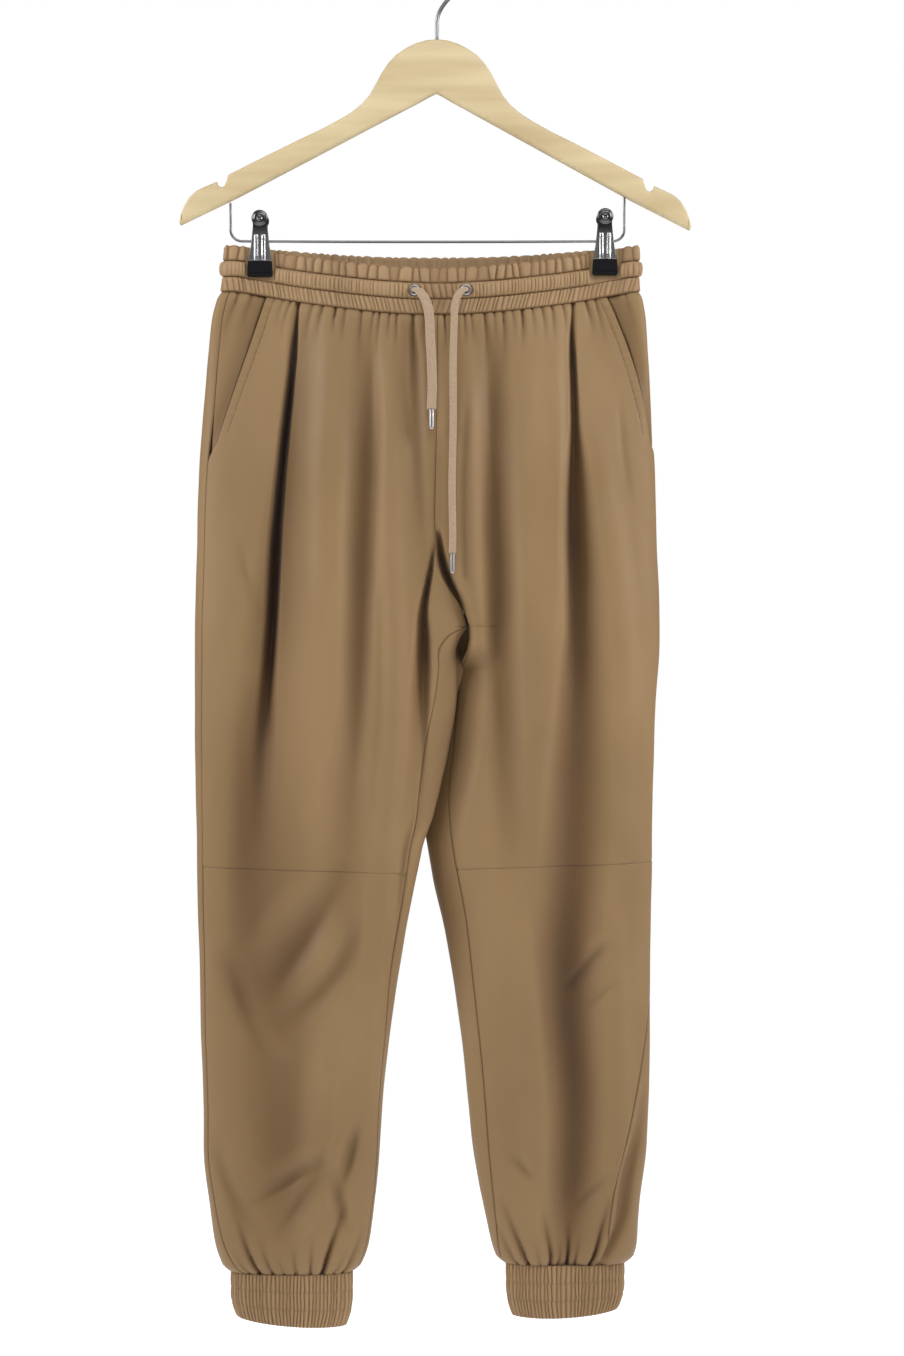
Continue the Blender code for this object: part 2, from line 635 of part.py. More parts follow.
def make_facing(side):
    """The hip piece behind the pocket opening, tucked a little way under the front."""
    drop = np.array([d for d in UPPER_DROPS if d < POCKET_END], float)
    drop[0] += GAP
    sign = SIGN[side]
    edge = smooth(POCKET, 1 if side == "right" else 2, drop)
    first = station(side, drop, edge - sign * FACING_UNDERLAP)
    last = step_in(side, side_seam(side, drop), drop, -1)
    t = between(first, last, FACING_CELLS)
    grid = np.broadcast_to(drop[:, None], t.shape)
    beyond = (cloth_point(side, t, grid)[..., 0] - edge[:, None]) * sign
    depth = FACING_DEPTH * (1 - ease(beyond, *FACING_EASE))
    panel(f"hip_facing_{side}", side, t, grid, "cloth", 0.0, depth)


# Waistband and cuffs


def even_round(points, count, ring):
    """Where to cut a dense line of points into even lengths, as shares of its index."""
    steps = np.linalg.norm(np.diff(points, axis=0), axis=-1)
    length = np.concatenate([[0], steps.cumsum()])
    stops = np.linspace(0, length[-1], count + 1)
    if ring:
        stops = stops[:-1]
    return np.interp(stops, length, np.arange(len(points)))


def flattened(x, front):
    """1 where nothing presses the band, down to 0 under a clip and round an eyelet."""
    free = np.ones(np.shape(x))
    for side in SIGN:
        free = free * ease(np.abs(x - CLIP_X[side]), *CLIP_REACH)
        if front:
            free = free * ease(np.abs(x - EYELET_X[side]), *EYELET_REACH)
    return free


def band_columns(front):
    """Even columns from the right side seam to the left: t of each, and which are on the right."""
    dense = np.linspace(1, 0 if front else 2, BAND_SAMPLES)
    middle_row = np.full(BAND_SAMPLES, BAND_HEIGHT / 2)
    right = cloth_point("right", dense, middle_row)
    left = cloth_point("left", dense[::-1], middle_row)
    stops = even_round(np.concatenate([right, left]), 2 * WAIST_GATHERS, False)
    t = np.interp(stops, np.arange(2 * BAND_SAMPLES), np.concatenate([dense, dense[::-1]]))
    ends = (0, 1 - BAND_END) if front else (1 + BAND_END, 2)
    return np.clip(t, *ends), stops < BAND_SAMPLES - 0.5


def make_band(name, front):
    t, on_right = band_columns(front)
    outer, inner = [], []
    ripple = np.arange(len(t)) % 2
    for drop, swell, gathers in BAND_ROWS:
        row = np.full(len(t), drop)
        point = np.where(on_right[:, None], cloth_point("right", t, row), cloth_point("left", t, row))
        normal = np.where(on_right[:, None], outward_normal("right", t, row),
                          outward_normal("left", t, row))
        normal = level_normal(normal)
        free = flattened(point[:, 0], front)
        between_eyelets = (point[:, 0] > EYELET_X["right"]) & (point[:, 0] < EYELET_X["left"])
        swelling = np.where(front & between_eyelets, 0.0, swell)
        lift = (swelling + gathers * ripple) * free
        outer.append(point + normal * lift[:, None])
        inner.append(point - normal * BAND_WALL)
    wall(name, np.array(outer), np.array(inner), "band")


def cuff_section(side, share, angle):
    """A ring of a cuff: its points and the directions out of it."""
    middle, half_width, half_depth = CUFFS[side][:3]
    cos, sin = np.cos(angle), np.sin(angle)
    power = 2 / ROUNDNESS
    x = middle + half_width * share * np.sign(cos) * np.abs(cos) ** power
    y = half_depth * (0.5 + 0.5 * share) * np.sign(sin) * np.abs(sin) ** power
    return np.stack([x, y], axis=-1)


def make_cuff(side):
    middle, half_width, _, sag, tilt = CUFFS[side]
    dense = cuff_section(side, 1.0, np.linspace(0, 2 * math.pi, CUFF_SAMPLES + 1))
    stops = even_round(dense, 2 * CUFF_GATHERS, True)
    angle = stops / CUFF_SAMPLES * 2 * math.pi
    ripple = np.arange(len(angle)) % 2
    top = WAIST_Z - HEM[side] - GAP
    outer, inner = [], []
    for drop, share, swell, ribs in CUFF_ROWS:
        ring = cuff_section(side, share, angle)
        along = np.roll(ring, -1, axis=0) - np.roll(ring, 1, axis=0)
        normal = np.stack([along[:, 1], -along[:, 0]], axis=-1)
        normal /= np.linalg.norm(normal, axis=-1, keepdims=True)
        across = (ring[:, 0] - middle) / half_width
        hang = drop / CUFF_HEIGHT * (sag * (1 - across**2) + tilt * across / 2)
        z = (top - drop - hang)[:, None]
        outer.append(np.hstack([ring + normal * (swell + ribs * ripple)[:, None], z]))
        inner.append(np.hstack([ring - normal * CUFF_WALL, z]))
    wall(f"cuff_{side}", np.array(outer), np.array(inner), "band", ring=True)


# Hanger, clips, eyelets and drawcords


def smooth_route(points, count):
    """Evenly spaced points of a smooth curve through a route."""
    route = np.array(points, float)
    legs = np.linalg.norm(np.diff(route, axis=0), axis=-1) ** 0.5
    knots = np.concatenate([[0], legs.cumsum()])
    table = np.column_stack([knots, route])
    dense = np.linspace(0, knots[-1], ROUTE_SAMPLES)
    curve = np.stack([smooth(table, column, dense) for column in (1, 2, 3)], axis=-1)
    length = np.concatenate([[0], np.linalg.norm(np.diff(curve, axis=0), axis=-1).cumsum()])
    stops = np.linspace(0, length[-1], count)
    return np.stack([np.interp(stops, length, curve[:, axis]) for axis in range(3)], axis=-1)


def tube(name, points, radius, look):
    curve = bpy.data.curves.new(name, "CURVE")
    curve.dimensions = "3D"
    curve.bevel_depth = radius * MM
    curve.bevel_resolution = WIRE_FACES
    curve.use_fill_caps = True
    spline = curve.splines.new("POLY")
    spline.points.add(len(points) - 1)
    for point, place in zip(spline.points, points):
        point.co = (*(np.array(place) * MM), 1)
    return new_object(name, curve, look)


def tilted(x, z):
    """The hanger hangs a little lower on the wearer's left."""
    turn_x = x * math.cos(HANGER_TILT) - (z - WOOD_OUTLINE[0][1]) * math.sin(HANGER_TILT)
    turn_z = x * math.sin(HANGER_TILT) + (z - WOOD_OUTLINE[0][1]) * math.cos(HANGER_TILT)
    return turn_x, turn_z + WOOD_OUTLINE[0][1]


def make_wood():
    curve = bpy.data.curves.new("hanger_wood", "CURVE")
    curve.dimensions = "2D"
    curve.fill_mode = "BOTH"
    curve.extrude = WOOD_THICKNESS / 2 * MM
    half = list(WOOD_OUTLINE)
    outline = half + [(0, WOOD_APEX_Z)] + [(-x, z) for x, z in reversed(half[1:])]
    spline = curve.splines.new("POLY")
    spline.points.add(len(outline) - 1)
    spline.use_cyclic_u = True
    for point, (x, z) in zip(spline.points, outline):
        x, z = tilted(x, z)
        point.co = (x * MM, z * MM, 0, 1)
    made = new_object("hanger_wood", curve, "wood")
    made.rotation_euler = (math.pi / 2, 0, 0)
    weld = made.modifiers.new("weld", "WELD")
    weld.merge_threshold = WELD_MM * MM
    rounding = made.modifiers.new("rounding", "BEVEL")
    rounding.width = WOOD_ROUNDING * MM
    rounding.segments = 1
    rounding.limit_method = "ANGLE"
    rounding.angle_limit = WOOD_EDGE_ANGLE


def make_hook():
    """A round hook over the rail, whose inside top is the origin."""
    centre_z = WIRE_RADIUS - HOOK_RADIUS
    angles = [math.radians(a) for a in HOOK_ANGLES]
    arc = [(HOOK_RADIUS * math.cos(a), centre_z + HOOK_RADIUS * math.sin(a)) for a in angles]
    route = [(x, 0.0, z) for x, z in (*HOOK_STEM, *arc)]
    tube("hanger_hook", smooth_route(route, HOOK_POINTS), WIRE_RADIUS, "chrome")


def underside_z(x):
    """Height of the wood's underside."""
    tip = max(range(len(WOOD_OUTLINE)), key=lambda i: WOOD_OUTLINE[i][0])
    lower = [(0, WOOD_APEX_Z), *reversed(WOOD_OUTLINE[tip:])]
    ends = [tilted(way * px, pz) for way in (-1, 1) for px, pz in lower]
    ends.sort()
    return float(np.interp(x, [end[0] for end in ends], [end[1] for end in ends]))


def make_bar():
    """The wire from one end of the wood to the other, on which the clips slide."""
    route = []
    corner = [math.radians(a) for a in BAR_CORNER_ANGLES]
    left_x, right_x = BAR_X
    route.append((left_x, 0.0, underside_z(left_x) - GAP - BAR_RADIUS / 2))
    for a in corner:
        route.append((left_x + BAR_CORNER * (1 - math.cos(a)), 0.0,
                      BAR_Z + BAR_CORNER * (1 - math.sin(a))))
    for a in reversed(corner):
        route.append((right_x - BAR_CORNER * (1 - math.cos(a)), 0.0,
                      BAR_Z + BAR_CORNER * (1 - math.sin(a))))
    route.append((right_x, 0.0, underside_z(right_x) - GAP - BAR_RADIUS / 2))
    tube("trouser_bar", route, BAR_RADIUS, "chrome")


def hidden_box(name, size, place):
    """A block that is joined to another piece and not shown itself."""
    bpy.ops.mesh.primitive_cube_add(size=1, location=[value * MM for value in place])
    made = bpy.context.object
    made.name = name
    made.scale = [value * MM for value in size]
    bpy.ops.object.transform_apply(location=False, rotation=False, scale=True)
    hide_cutter(made)
    return made


def hide_cutter(made):
    made.display_type = "WIRE"
    made.hide_render = True
    for collection in made.users_collection:
        collection.objects.unlink(made)
    bpy.data.collections[CUTTERS].objects.link(made)


def combine(made, other, operation):
    change = made.modifiers.new(other.name, "BOOLEAN")
    change.operation = operation
    change.object = other


def make_clip(side, face):
    """One folded leaf of a clip, with two ears round the bar, and its rubber jaw."""
    facing = -1 if face == "front" else 1
    x0, lift = CLIP_X[side], CLIP_LIFT[side]
    rings = []
    for z, y, half_width in LEAF:
        near, far = y - LEAF_THICKNESS / 2, y + LEAF_THICKNESS / 2
        rings.append([(x0 + dx * half_width, facing * dy, z + lift)
                      for dx, dy in ((-1, far), (1, far), (1, near), (-1, near))])
    rings = np.array(rings)
    name = f"clip_{face}_{side}"
    leaf = wall(name, rings[:, [0, 1]], rings[:, [3, 2]], "chrome")
    ear_z = (EAR_TOP_Z + EAR_BOTTOM_Z) / 2 + lift
    for way in (-1, 1):
        size = (LEAF_THICKNESS, EAR_REACH - GAP / 2, EAR_TOP_Z - EAR_BOTTOM_Z)
        place = (x0 + way * EAR_X, facing * (EAR_REACH + GAP / 2) / 2, ear_z)
        combine(leaf, hidden_box(f"ear_{name}_{way}", size, place), "UNION")
    bpy.ops.mesh.primitive_cylinder_add(
        vertices=HOLE_SIDES, radius=(BAR_RADIUS + GAP) * MM, depth=BAR_HOLE_LENGTH * MM,
        location=(x0 * MM, 0, BAR_Z * MM), rotation=(0, math.pi / 2, 0))
    hole = bpy.context.object
    hole.name = f"hole_{name}"
    hide_cutter(hole)
    combine(leaf, hole, "DIFFERENCE")
    near, far = PAD_Y
    jaw = []
    for z, half_width in zip(PAD_Z, PAD_HALF_WIDTHS):
        jaw.append([(x0 + dx * half_width, facing * dy, z + lift)
                    for dx, dy in ((-1, far), (1, far), (1, near), (-1, near))])
    jaw = np.array(jaw)
    wall(f"pad_{face}_{side}", jaw[:, [0, 1]], jaw[:, [3, 2]], "rubber")


def band_face(x, below_top):
    """The flat front of the band at an eyelet."""
    side = "left" if x > 0 else "right"
    t = station(side, np.array([below_top]), np.array([x]))
    return cloth_point(side, t, np.array([below_top]))[0]


def make_eyelet(side):
    x, y, z = band_face(EYELET_X[side], EYELET_DROP)
    y -= EYELET_WIRE * EYELET_FLATNESS + GAP
    bpy.ops.mesh.primitive_torus_add(
        major_segments=EYELET_SIDES[0], minor_segments=EYELET_SIDES[1],
        major_radius=EYELET_RADIUS * MM, minor_radius=EYELET_WIRE * MM,
        location=(x * MM, y * MM, z * MM))
    ring = bpy.context.object
    ring.scale.z = EYELET_FLATNESS
    bpy.ops.object.transform_apply(location=False, rotation=False, scale=True)
    ring.rotation_euler = (math.pi / 2, 0, 0)
    mesh = ring.data
    place, turn = ring.location.copy(), ring.rotation_euler.copy()
    bpy.data.objects.remove(ring)
    made = new_object(f"eyelet_{side}", mesh, "steel")
    made.location, made.rotation_euler = place, turn


def make_cord(side):
    route = smooth_route(CORD_ROUTES[side], CORD_POINTS[side])
    tube(f"drawcord_{side}", route, CORD_RADIUS, "cord")
    x, y, z = CORD_ROUTES[side][-1]
    bpy.ops.mesh.primitive_cylinder_add(
        vertices=TIP_SIDES, radius=TIP_RADIUS * MM, depth=TIP_LENGTH * MM,
        location=(x * MM, y * MM, (z - GAP - TIP_LENGTH / 2) * MM))
    tip = bpy.context.object
    mesh, place = tip.data, tip.location.copy()
    bpy.data.objects.remove(tip)
    new_object(f"cord_tip_{side}", mesh, "steel").location = place


def clear_scene():
    for thing in list(bpy.data.objects):
        bpy.data.objects.remove(thing)
    for name in (PART, CUTTERS):
        bpy.context.scene.collection.children.link(bpy.data.collections.new(name))
    bpy.data.collections[CUTTERS].hide_render = True


def main():
    clear_scene()
    make_wood()
    make_hook()
    make_bar()
    for side in SIGN:
        make_upper_front(side)
        make_lower_front(side)
        make_back(side)
        make_facing(side)
        make_cuff(side)
        make_eyelet(side)
        make_cord(side)
        for face in ("front", "back"):
            make_clip(side, face)
    make_band("waistband_front", True)
    make_band("waistband_back", False)


main()
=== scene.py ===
"""Tan faux leather jogger trousers on a wooden clip hanger, dressed from the CAD frame.

Lengths are in millimetres until a mesh is made.  X runs to the viewer's right, -Y towards the
viewer and Z up, with the origin at the inside top of the hook.  Right and left are the wearer's,
so the right leg is at -X.  A drop is a distance below the top of the waist at its two sides.
"""

import math

import bmesh
import bpy
import numpy as np
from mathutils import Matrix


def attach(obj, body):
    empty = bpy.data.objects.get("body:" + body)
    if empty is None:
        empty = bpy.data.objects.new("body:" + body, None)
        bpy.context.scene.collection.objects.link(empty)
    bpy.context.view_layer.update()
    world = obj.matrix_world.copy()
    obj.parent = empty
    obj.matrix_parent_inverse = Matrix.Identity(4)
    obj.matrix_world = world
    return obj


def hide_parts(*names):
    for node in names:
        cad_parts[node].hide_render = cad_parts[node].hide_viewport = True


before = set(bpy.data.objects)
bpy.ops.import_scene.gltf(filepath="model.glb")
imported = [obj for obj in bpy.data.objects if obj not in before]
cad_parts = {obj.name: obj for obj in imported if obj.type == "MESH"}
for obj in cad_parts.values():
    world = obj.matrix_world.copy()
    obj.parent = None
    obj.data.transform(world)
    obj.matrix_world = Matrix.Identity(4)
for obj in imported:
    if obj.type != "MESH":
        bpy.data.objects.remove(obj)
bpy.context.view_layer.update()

MM = 0.001
GAP = 0.04
CLOTH = 0.9
BAND_WALL = 2.2
CUFF_WALL = 2.0
SHARP_ANGLE = math.radians(50)

WAIST_Z = -246.6
BAND_HEIGHT = 40.0
RISE_START = 250.0
CROTCH = 330.0
HEM = {"right": 888.0, "left": 880.0}
CUFF_HEIGHT = 42.0
ROUNDNESS = 2.4
CROTCH_ROUNDNESS = 5.0
CROTCH_EASE = 110.0
CROTCH_SPAN = (-28.0, -20.0, -12.0, -4.0, 4.0, 12.0, 20.0, 28.0)
HIP_FULLEST = 0.35
LEG_FULLEST = 0.5
ROUND_BEND = 2.6
WAIST_HALF = 176.0
FRONT_DROOP = (22.4, 1.4)
BACK_DROOP = (7.5, 0.8)
WAIST_EASE = (45.0, 200.0)
WAIST_CORNER = 40
FOLD_FADE = 0.5
SIGN = {"right": -1, "left": 1}
COLUMN = {"right": 1, "left": 2}  # where a table gives a side's value

CLIP_X = {"right": -153.2, "left": 145.4}
CLIP_LIFT = {"right": 0.0, "left": 1.5}
CLIP_REACH = (11.6, 14.6)
EYELET_REACH = (5.1, 7.4)
PAD_SHADE = (25.0, 28.0)  # how far down the band a pad reaches
EYELET_X = {"right": -19.2, "left": 25.3}
EYELET_DROP = 19.4

# Outline and depth by level: drop, x of right side, x of left side, front depth, back depth.
LEVELS = (
    (0, -184.5, 175.5, 27, 22), (40, -187.5, 175.7, 28, 23), (60, -193.0, 179.3, 29, 25),
    (90, -197.5, 182.3, 31, 28), (135, -201.7, 185.6, 33, 31), (195, -205.9, 188.5, 34, 33),
    (265, -208.1, 190.7, 34, 34), (330, -209.5, 192.7, 34, 34), (352, -209.8, 192.5, 33, 33),
    (394, -209.8, 189.6, 32, 32), (472, -209.0, 187.0, 30, 31), (541, -207.9, 185.9, 28, 30),
    (597, -206.5, 185.1, 27, 29), (669, -204.6, 184.6, 27, 28), (740, -202.6, 183.5, 27, 27),
    (795, -201.6, 179.8, 27, 27), (820, -198.5, 176.5, 27, 27), (845, -194.3, 172.9, 26, 26),
    (870, -187.7, 168.6, 24, 24), (888, -179.6, 160.8, 22, 22),
)
# Where the two halves meet, above the crotch: drop, x.
CENTRE_SEAM = (
    (0, 0.0), (62, 0.4), (160, -0.4), (250, -1.5), (270, -1.0), (285, 3.0), (298, 10.8),
    (312, 20.4), (330, 27.3),
)
# Inner edge of each leg, below the crotch: drop, x of right leg, x of left leg.
INNER_LEG = (
    (330, 27.15, 27.45), (341, 19.5, 27.3), (352, 15.5, 25.5), (366, 14.3, 21.0),
    (394, 13.6, 15.6), (430, 8.0, 10.0), (472, -1.0, 1.0), (513, -10.9, -8.9),
    (541, -17.0, -4.8), (597, -27.6, 7.4), (669, -38.6, 19.1), (740, -47.3, 26.8),
    (795, -50.5, 33.0), (820, -53.0, 37.5), (845, -57.0, 44.5), (870, -63.5, 52.5),
    (888, -72.5, 60.5),
)
# How far in from the outline the seams run on the front: drop, right side seam, left side seam,
# right inseam, left inseam.  A side seam below nought lies round on the back.
SEAM_INSETS = (
    (40, 7.3, -3.0, 0.0, 0.0), (133, 9.6, -3.0, 0.0, 0.0), (195, 8.0, -3.0, 0.0, 0.0),
    (330, 7.4, -3.0, 0.0, 0.0), (336, 7.4, -3.0, 9.0, 0.8), (345, 7.3, -3.0, 14.0, 2.0),
    (366, 7.2, -3.0, 15.0, 4.0),
    (428, 6.8, -3.0, 19.0, 8.0), (472, 6.3, -3.0, 16.0, 12.0), (505, 6.0, -3.0, 12.0, 20.0),
    (541, 5.6, -3.0, 9.0, 22.0), (640, 4.8, -1.0, 7.0, 17.0), (669, 4.5, 2.0, 5.0, 16.0),
    (740, 4.5, 13.0, 3.0, 15.0), (810, 5.0, 24.0, 2.0, 12.0), (870, 9.0, 28.0, 2.0, 4.0),
    (888, 12.0, 33.0, 2.0, 2.0),
)
# Half depth of the waist, pinched flat by the clips: share of the half width, front, back.
WAIST_DEPTH = (
    (0.0, 27.0, 22.0), (0.25, 25.5, 20.5), (0.48, 18.5, 14.5), (0.62, 9.5, 8.0),
    (0.70, 4.8, 4.6), (0.75, 3.0, 3.0), (0.825, 2.9, 2.9), (0.90, 3.0, 3.0), (0.945, 4.4, 4.4),
    (1.0, 5.0, 5.0),
)
# Slanted pocket openings: drop, x on the right front, x on the left front.
POCKET = ((40, -147.5, 147.0), (52, -151.3, 152.0), (148, -182.0, 181.0), (192, -196.2, 187.2))
POCKET_END = 192.0
FACING_DEPTH = 2.6
FACING_EASE = (3.0, 18.0)
TUCKED_DEPTH = 3.2
TUCKED_EASE = (-3.0, 0.8)
FACING_UNDERLAP = 6.0
POCKET_MERGE = 22.0  # over which its edge runs into the side seam
POCKET_PAINTED_SHADOW = (12.0, 0.4, 2.4)  # painted shadow beside a pocket's edge: the depth it counts as, where it fades
KNEE = 541.0
KNEE_SLOPE = {"right": (2.5, -4.0), "left": (-1.5, -10.0)}  # inseam, side seam
KNEE_REACH = 60.0
BAND_END = 0.012
BAND_SAMPLES = 400

# Middle, half width and half depth of each cuff, then how far its two ends hang lower.
CUFFS = {
    "right": (-125.3, 52.6, 21.5, 3.0, 8.0),
    "left": (110.6, 51.0, 21.5, 3.5, -6.0),
}

# Long folds that hang down the cloth.  Each is a line: drop, x, height, half width towards the
# viewer's left, half width towards the viewer's right.  A height below nought is a trough.
FALLS = {
    ("right", "front"): (
        ((44, -119.5, 0, 3, 3), (54, -119.8, -7, 3.5, 3), (67, -121, -12, 4.5, 3.5),
         (120, -126.2, -15, 6, 4.5), (171, -131, -16, 7.5, 5), (259, -138, -16, 9, 6),
         (326, -141, -14, 10, 7), (394, -146, -9, 12, 10), (450, -149.5, -4, 14, 14),
         (524, -151.3, 0, 14, 14)),
        ((46, -121, 0, 7, 26), (80, -122, -4, 8, 30), (150, -127, -6.5, 9, 34),
         (220, -133, -8, 14, 38), (300, -139, -8, 24, 40), (360, -146, -7, 28, 38),
         (430, -158, -6, 26, 36), (520, -166, -5, 22, 34), (600, -168, -2.5, 20, 30),
         (680, -168, 0, 20, 26)),
        ((370, -150, 0, 40, 50), (460, -150, -4, 50, 62), (560, -148, -6.4, 50, 66),
         (700, -140, -7.6, 52, 60), (800, -135, -7, 46, 52), (872, -130, 0, 40, 40)),
        ((60, -94, 0, 16, 18), (110, -94, 3, 18, 20), (220, -92, 3.6, 22, 22),
         (300, -88, 3.2, 24, 20), (400, -86, 2.8, 26, 18), (500, -84, 0, 24, 18)),
        ((60, -58, 0, 18, 10), (110, -57, -4.6, 24, 11), (160, -57, -7.6, 27, 13),
         (250, -61, -8.8, 29, 15), (330, -65, -8.6, 30, 16), (390, -68, -7.4, 30, 17),
         (450, -74, -5.4, 30, 18), (540, -78, -3.5, 30, 22), (640, -80, 0, 28, 24)),
        ((70, -42, 0, 10, 14), (130, -41, 3.5, 11, 16), (250, -40, 4.6, 12, 18),
         (340, -37, 5.6, 13, 16), (400, -36, 5.6, 14, 14), (470, -40, 5, 16, 14),
         (541, -46, 5, 18, 15), (620, -52, 4.8, 18, 15), (720, -58, 4, 18, 15),
         (820, -64, 0, 18, 15)),
        ((58, -24, 0, 10, 8), (90, -20, -4, 11, 9), (150, -18, -4, 12, 10),
         (230, -14, -2.4, 12, 10), (290, -12, 0, 12, 10)),
        ((430, -20, 0, 10, 9), (480, -25, -3.4, 10, 9), (541, -32, -3.4, 10, 9),
         (620, -40, -2, 10, 10), (700, -46, 0, 10, 10)),
        ((256, -2, 0, 2, 2), (268, -3.4, -5, 2.8, 2.4), (280, -5, -10, 3.6, 3),
         (291, -6.9, -12, 5, 3.6), (315, -10.5, -14, 8, 5), (342, -10.8, -15, 11, 7.5),
         (378, -12, -13, 13, 7), (402, -12.5, -9, 14, 6), (440, -15, -5, 13, 6),
         (490, -19, -2, 12, 6), (530, -24, 0, 10, 6)),
        ((650, -100, 0, 16, 16), (720, -106, 2.2, 16, 16), (790, -112, 1.4, 14, 14),
         (850, -116, 0, 14, 14)),
    ),
    ("left", "front"): (
        ((44, 117.5, 0, 3, 3), (56, 117, -7, 3.5, 3.5), (66, 116.6, -10, 4, 4),
         (130, 118, -12, 5, 5), (165, 118, -13, 6, 8), (190, 116.8, -14, 7, 14),
         (230, 115.8, -15, 8, 22), (290, 116.2, -15, 9, 30), (341, 118, -13, 12, 32),
         (394, 120, -11, 24, 33), (440, 119, -11, 33, 36), (550, 116, -11.5, 37, 36),
         (615, 112, -13, 38, 35), (650, 113, -13.4, 36, 34), (750, 118, -12.6, 32, 30),
         (830, 114, -10, 28, 28), (876, 112, -4, 22, 22)),
        ((60, 103, 0, 12, 8), (130, 104, 3, 18, 8), (290, 101, 3.6, 20, 9), (345, 99, 3.4, 20, 10),
         (440, 96, 2, 20, 12), (520, 94, 0, 20, 14)),
        ((150, 138, 0, 10, 14), (200, 144, 2.4, 12, 16), (290, 156, 3.2, 15, 18),
         (360, 162, 2.8, 16, 18), (460, 162, 1.4, 18, 18), (560, 160, 0, 18, 18)),
        ((70, 44, 0, 10, 16), (120, 46, -5, 12, 20), (250, 48, -9.5, 13, 26),
         (330, 51, -10, 14, 28), (400, 56, -7, 16, 28), (470, 60, -4, 18, 26),
         (560, 62, 0, 18, 24)),
        ((70, 27, 0, 10, 8), (150, 29, 3.6, 14, 9), (260, 30, 4.4, 16, 10), (330, 31, 3.6, 16, 11),
         (420, 34, 1.6, 16, 12), (480, 36, 0, 14, 12)),
        ((70, 80, 0, 18, 18), (200, 83, 4, 22, 18), (360, 83, 4, 22, 20), (480, 84, 2, 22, 20),
         (580, 84, 0, 20, 20)),
        ((246, 1, 0, 4, 4), (256, 1, -9, 4, 6), (268, 2.6, -14, 5, 7), (290, 9.6, -14, 6, 7),
         (305, 18, -9, 6, 6), (322, 27, 0, 5, 5)),
        ((560, 66, 0, 16, 16), (640, 76, 3, 18, 16), (760, 86, 3, 18, 15), (850, 90, 0, 16, 14)),
        ((560, 150, 0, 14, 14), (640, 156, 2.4, 16, 16), (760, 158, 2.4, 16, 14),
         (850, 148, 0, 14, 14)),
        ((715, 180, 0, 4, 8), (757, 173, -3.5, 5, 10), (802, 161, -6.5, 5, 13),
         (846, 153, -6.5, 5, 13), (878, 139, -4, 5, 10)),
    ),
    ("right", "back"): (
        ((50, -128, 0, 22, 22), (130, -132, -6, 24, 22), (260, -136, -6, 26, 22),
         (400, -140, 0, 24, 22)),
        ((50, -62, 0, 18, 18), (160, -60, -5, 20, 22), (300, -52, -7, 22, 24),
         (420, -60, 0, 22, 24)),
        ((90, -92, 0, 22, 22), (260, -96, 3.4, 22, 22), (420, -98, 3.4, 24, 24),
         (540, -100, 0, 24, 24)),
        ((60, -24, 0, 10, 12), (110, -26, -3, 12, 12), (210, -30, 0, 12, 12)),
        ((690, -88, 0, 22, 22), (770, -112, -4.5, 20, 22), (850, -120, 0, 18, 18)),
    ),
    ("left", "back"): (
        ((50, 112, 0, 20, 22), (130, 118, -6, 22, 24), (260, 126, -6, 22, 26),
         (400, 128, 0, 22, 24)),
        ((50, 58, 0, 18, 18), (160, 62, -5, 22, 20), (300, 70, -6.5, 24, 22), (420, 72, 0, 24, 22)),
        ((90, 90, 0, 20, 20), (260, 94, 3.4, 22, 22), (420, 100, 3.4, 24, 24),
         (540, 98, 0, 24, 24)),
        ((60, 22, 0, 12, 10), (120, 24, -3, 12, 12), (230, 28, 0, 12, 12)),
        ((690, 84, 0, 22, 22), (770, 100, -4.5, 20, 20), (850, 104, 0, 18, 18)),
    ),
}

# Short creases: x and drop of the end further left, x and drop of the other end, height, half
# width above or left of the line, half width below or right of it, and its bow towards below.
CREASES = {
    ("right", "front"): (
        (-152, 656, -78, 526, -6.6, 25, 20, 6), (-164, 626, -108, 536, 3.0, 18, 17, 0),
        (-128, 652, -82, 572, 1.3, 15, 14, 6), (-138, 678, -64, 576, -5.0, 17, 20, 12),
        (-186, 596, -138, 700, -5.0, 19, 18, 8), (-166, 640, -120, 706, 3.0, 14, 14, 8),
        (-86, 828, -66, 748, -5.0, 12, 10, 0), (-100, 806, -76, 756, 2.6, 10, 10, 0),
        (-92, 788, -76, 858, -4.0, 11, 10, 2), (-170, 832, -82, 778, -3.6, 14, 9, 3),
        (-156, 806, -92, 768, 2.2, 12, 12, 3), (-144, 862, -86, 780, -3.2, 10, 12, 0),
        (-128, 866, -86, 808, 2.4, 10, 10, 0), (-190, 770, -150, 860, -3.4, 12, 12, 6),
        (-170, 250, -150, 330, -1.8, 9, 9, 2),
    ),
    ("left", "front"): (
        (108, 644, 150, 596, -3.8, 8, 15, 2), (122, 616, 150, 590, 1.2, 8, 8, 0),
        (128, 660, 158, 632, -2.4, 8, 8, 0), (60, 780, 92, 812, -2.6, 9, 9, 0),
        (118, 832, 150, 800, -3.0, 9, 9, 0), (158, 120, 168, 230, -1.4, 7, 7, 3),
    ),
    ("right", "back"): (
        (-150, 632, -64, 562, -5.0, 16, 16, 0), (-170, 600, -110, 566, -3.2, 12, 12, 4),
        (-130, 672, -70, 622, -3.4, 12, 12, 4), (-168, 824, -96, 790, -3.6, 10, 10, 0),
        (-126, 856, -90, 806, -3.6, 9, 9, 0),
    ),
    ("left", "back"): (
        (44, 582, 132, 642, -5.0, 16, 16, 0), (96, 570, 158, 604, -3.2, 12, 12, 4),
        (52, 626, 110, 676, -3.4, 12, 12, 4), (62, 788, 134, 824, -3.6, 10, 10, 0),
        (66, 804, 100, 852, -3.6, 9, 9, 0),
    ),
}

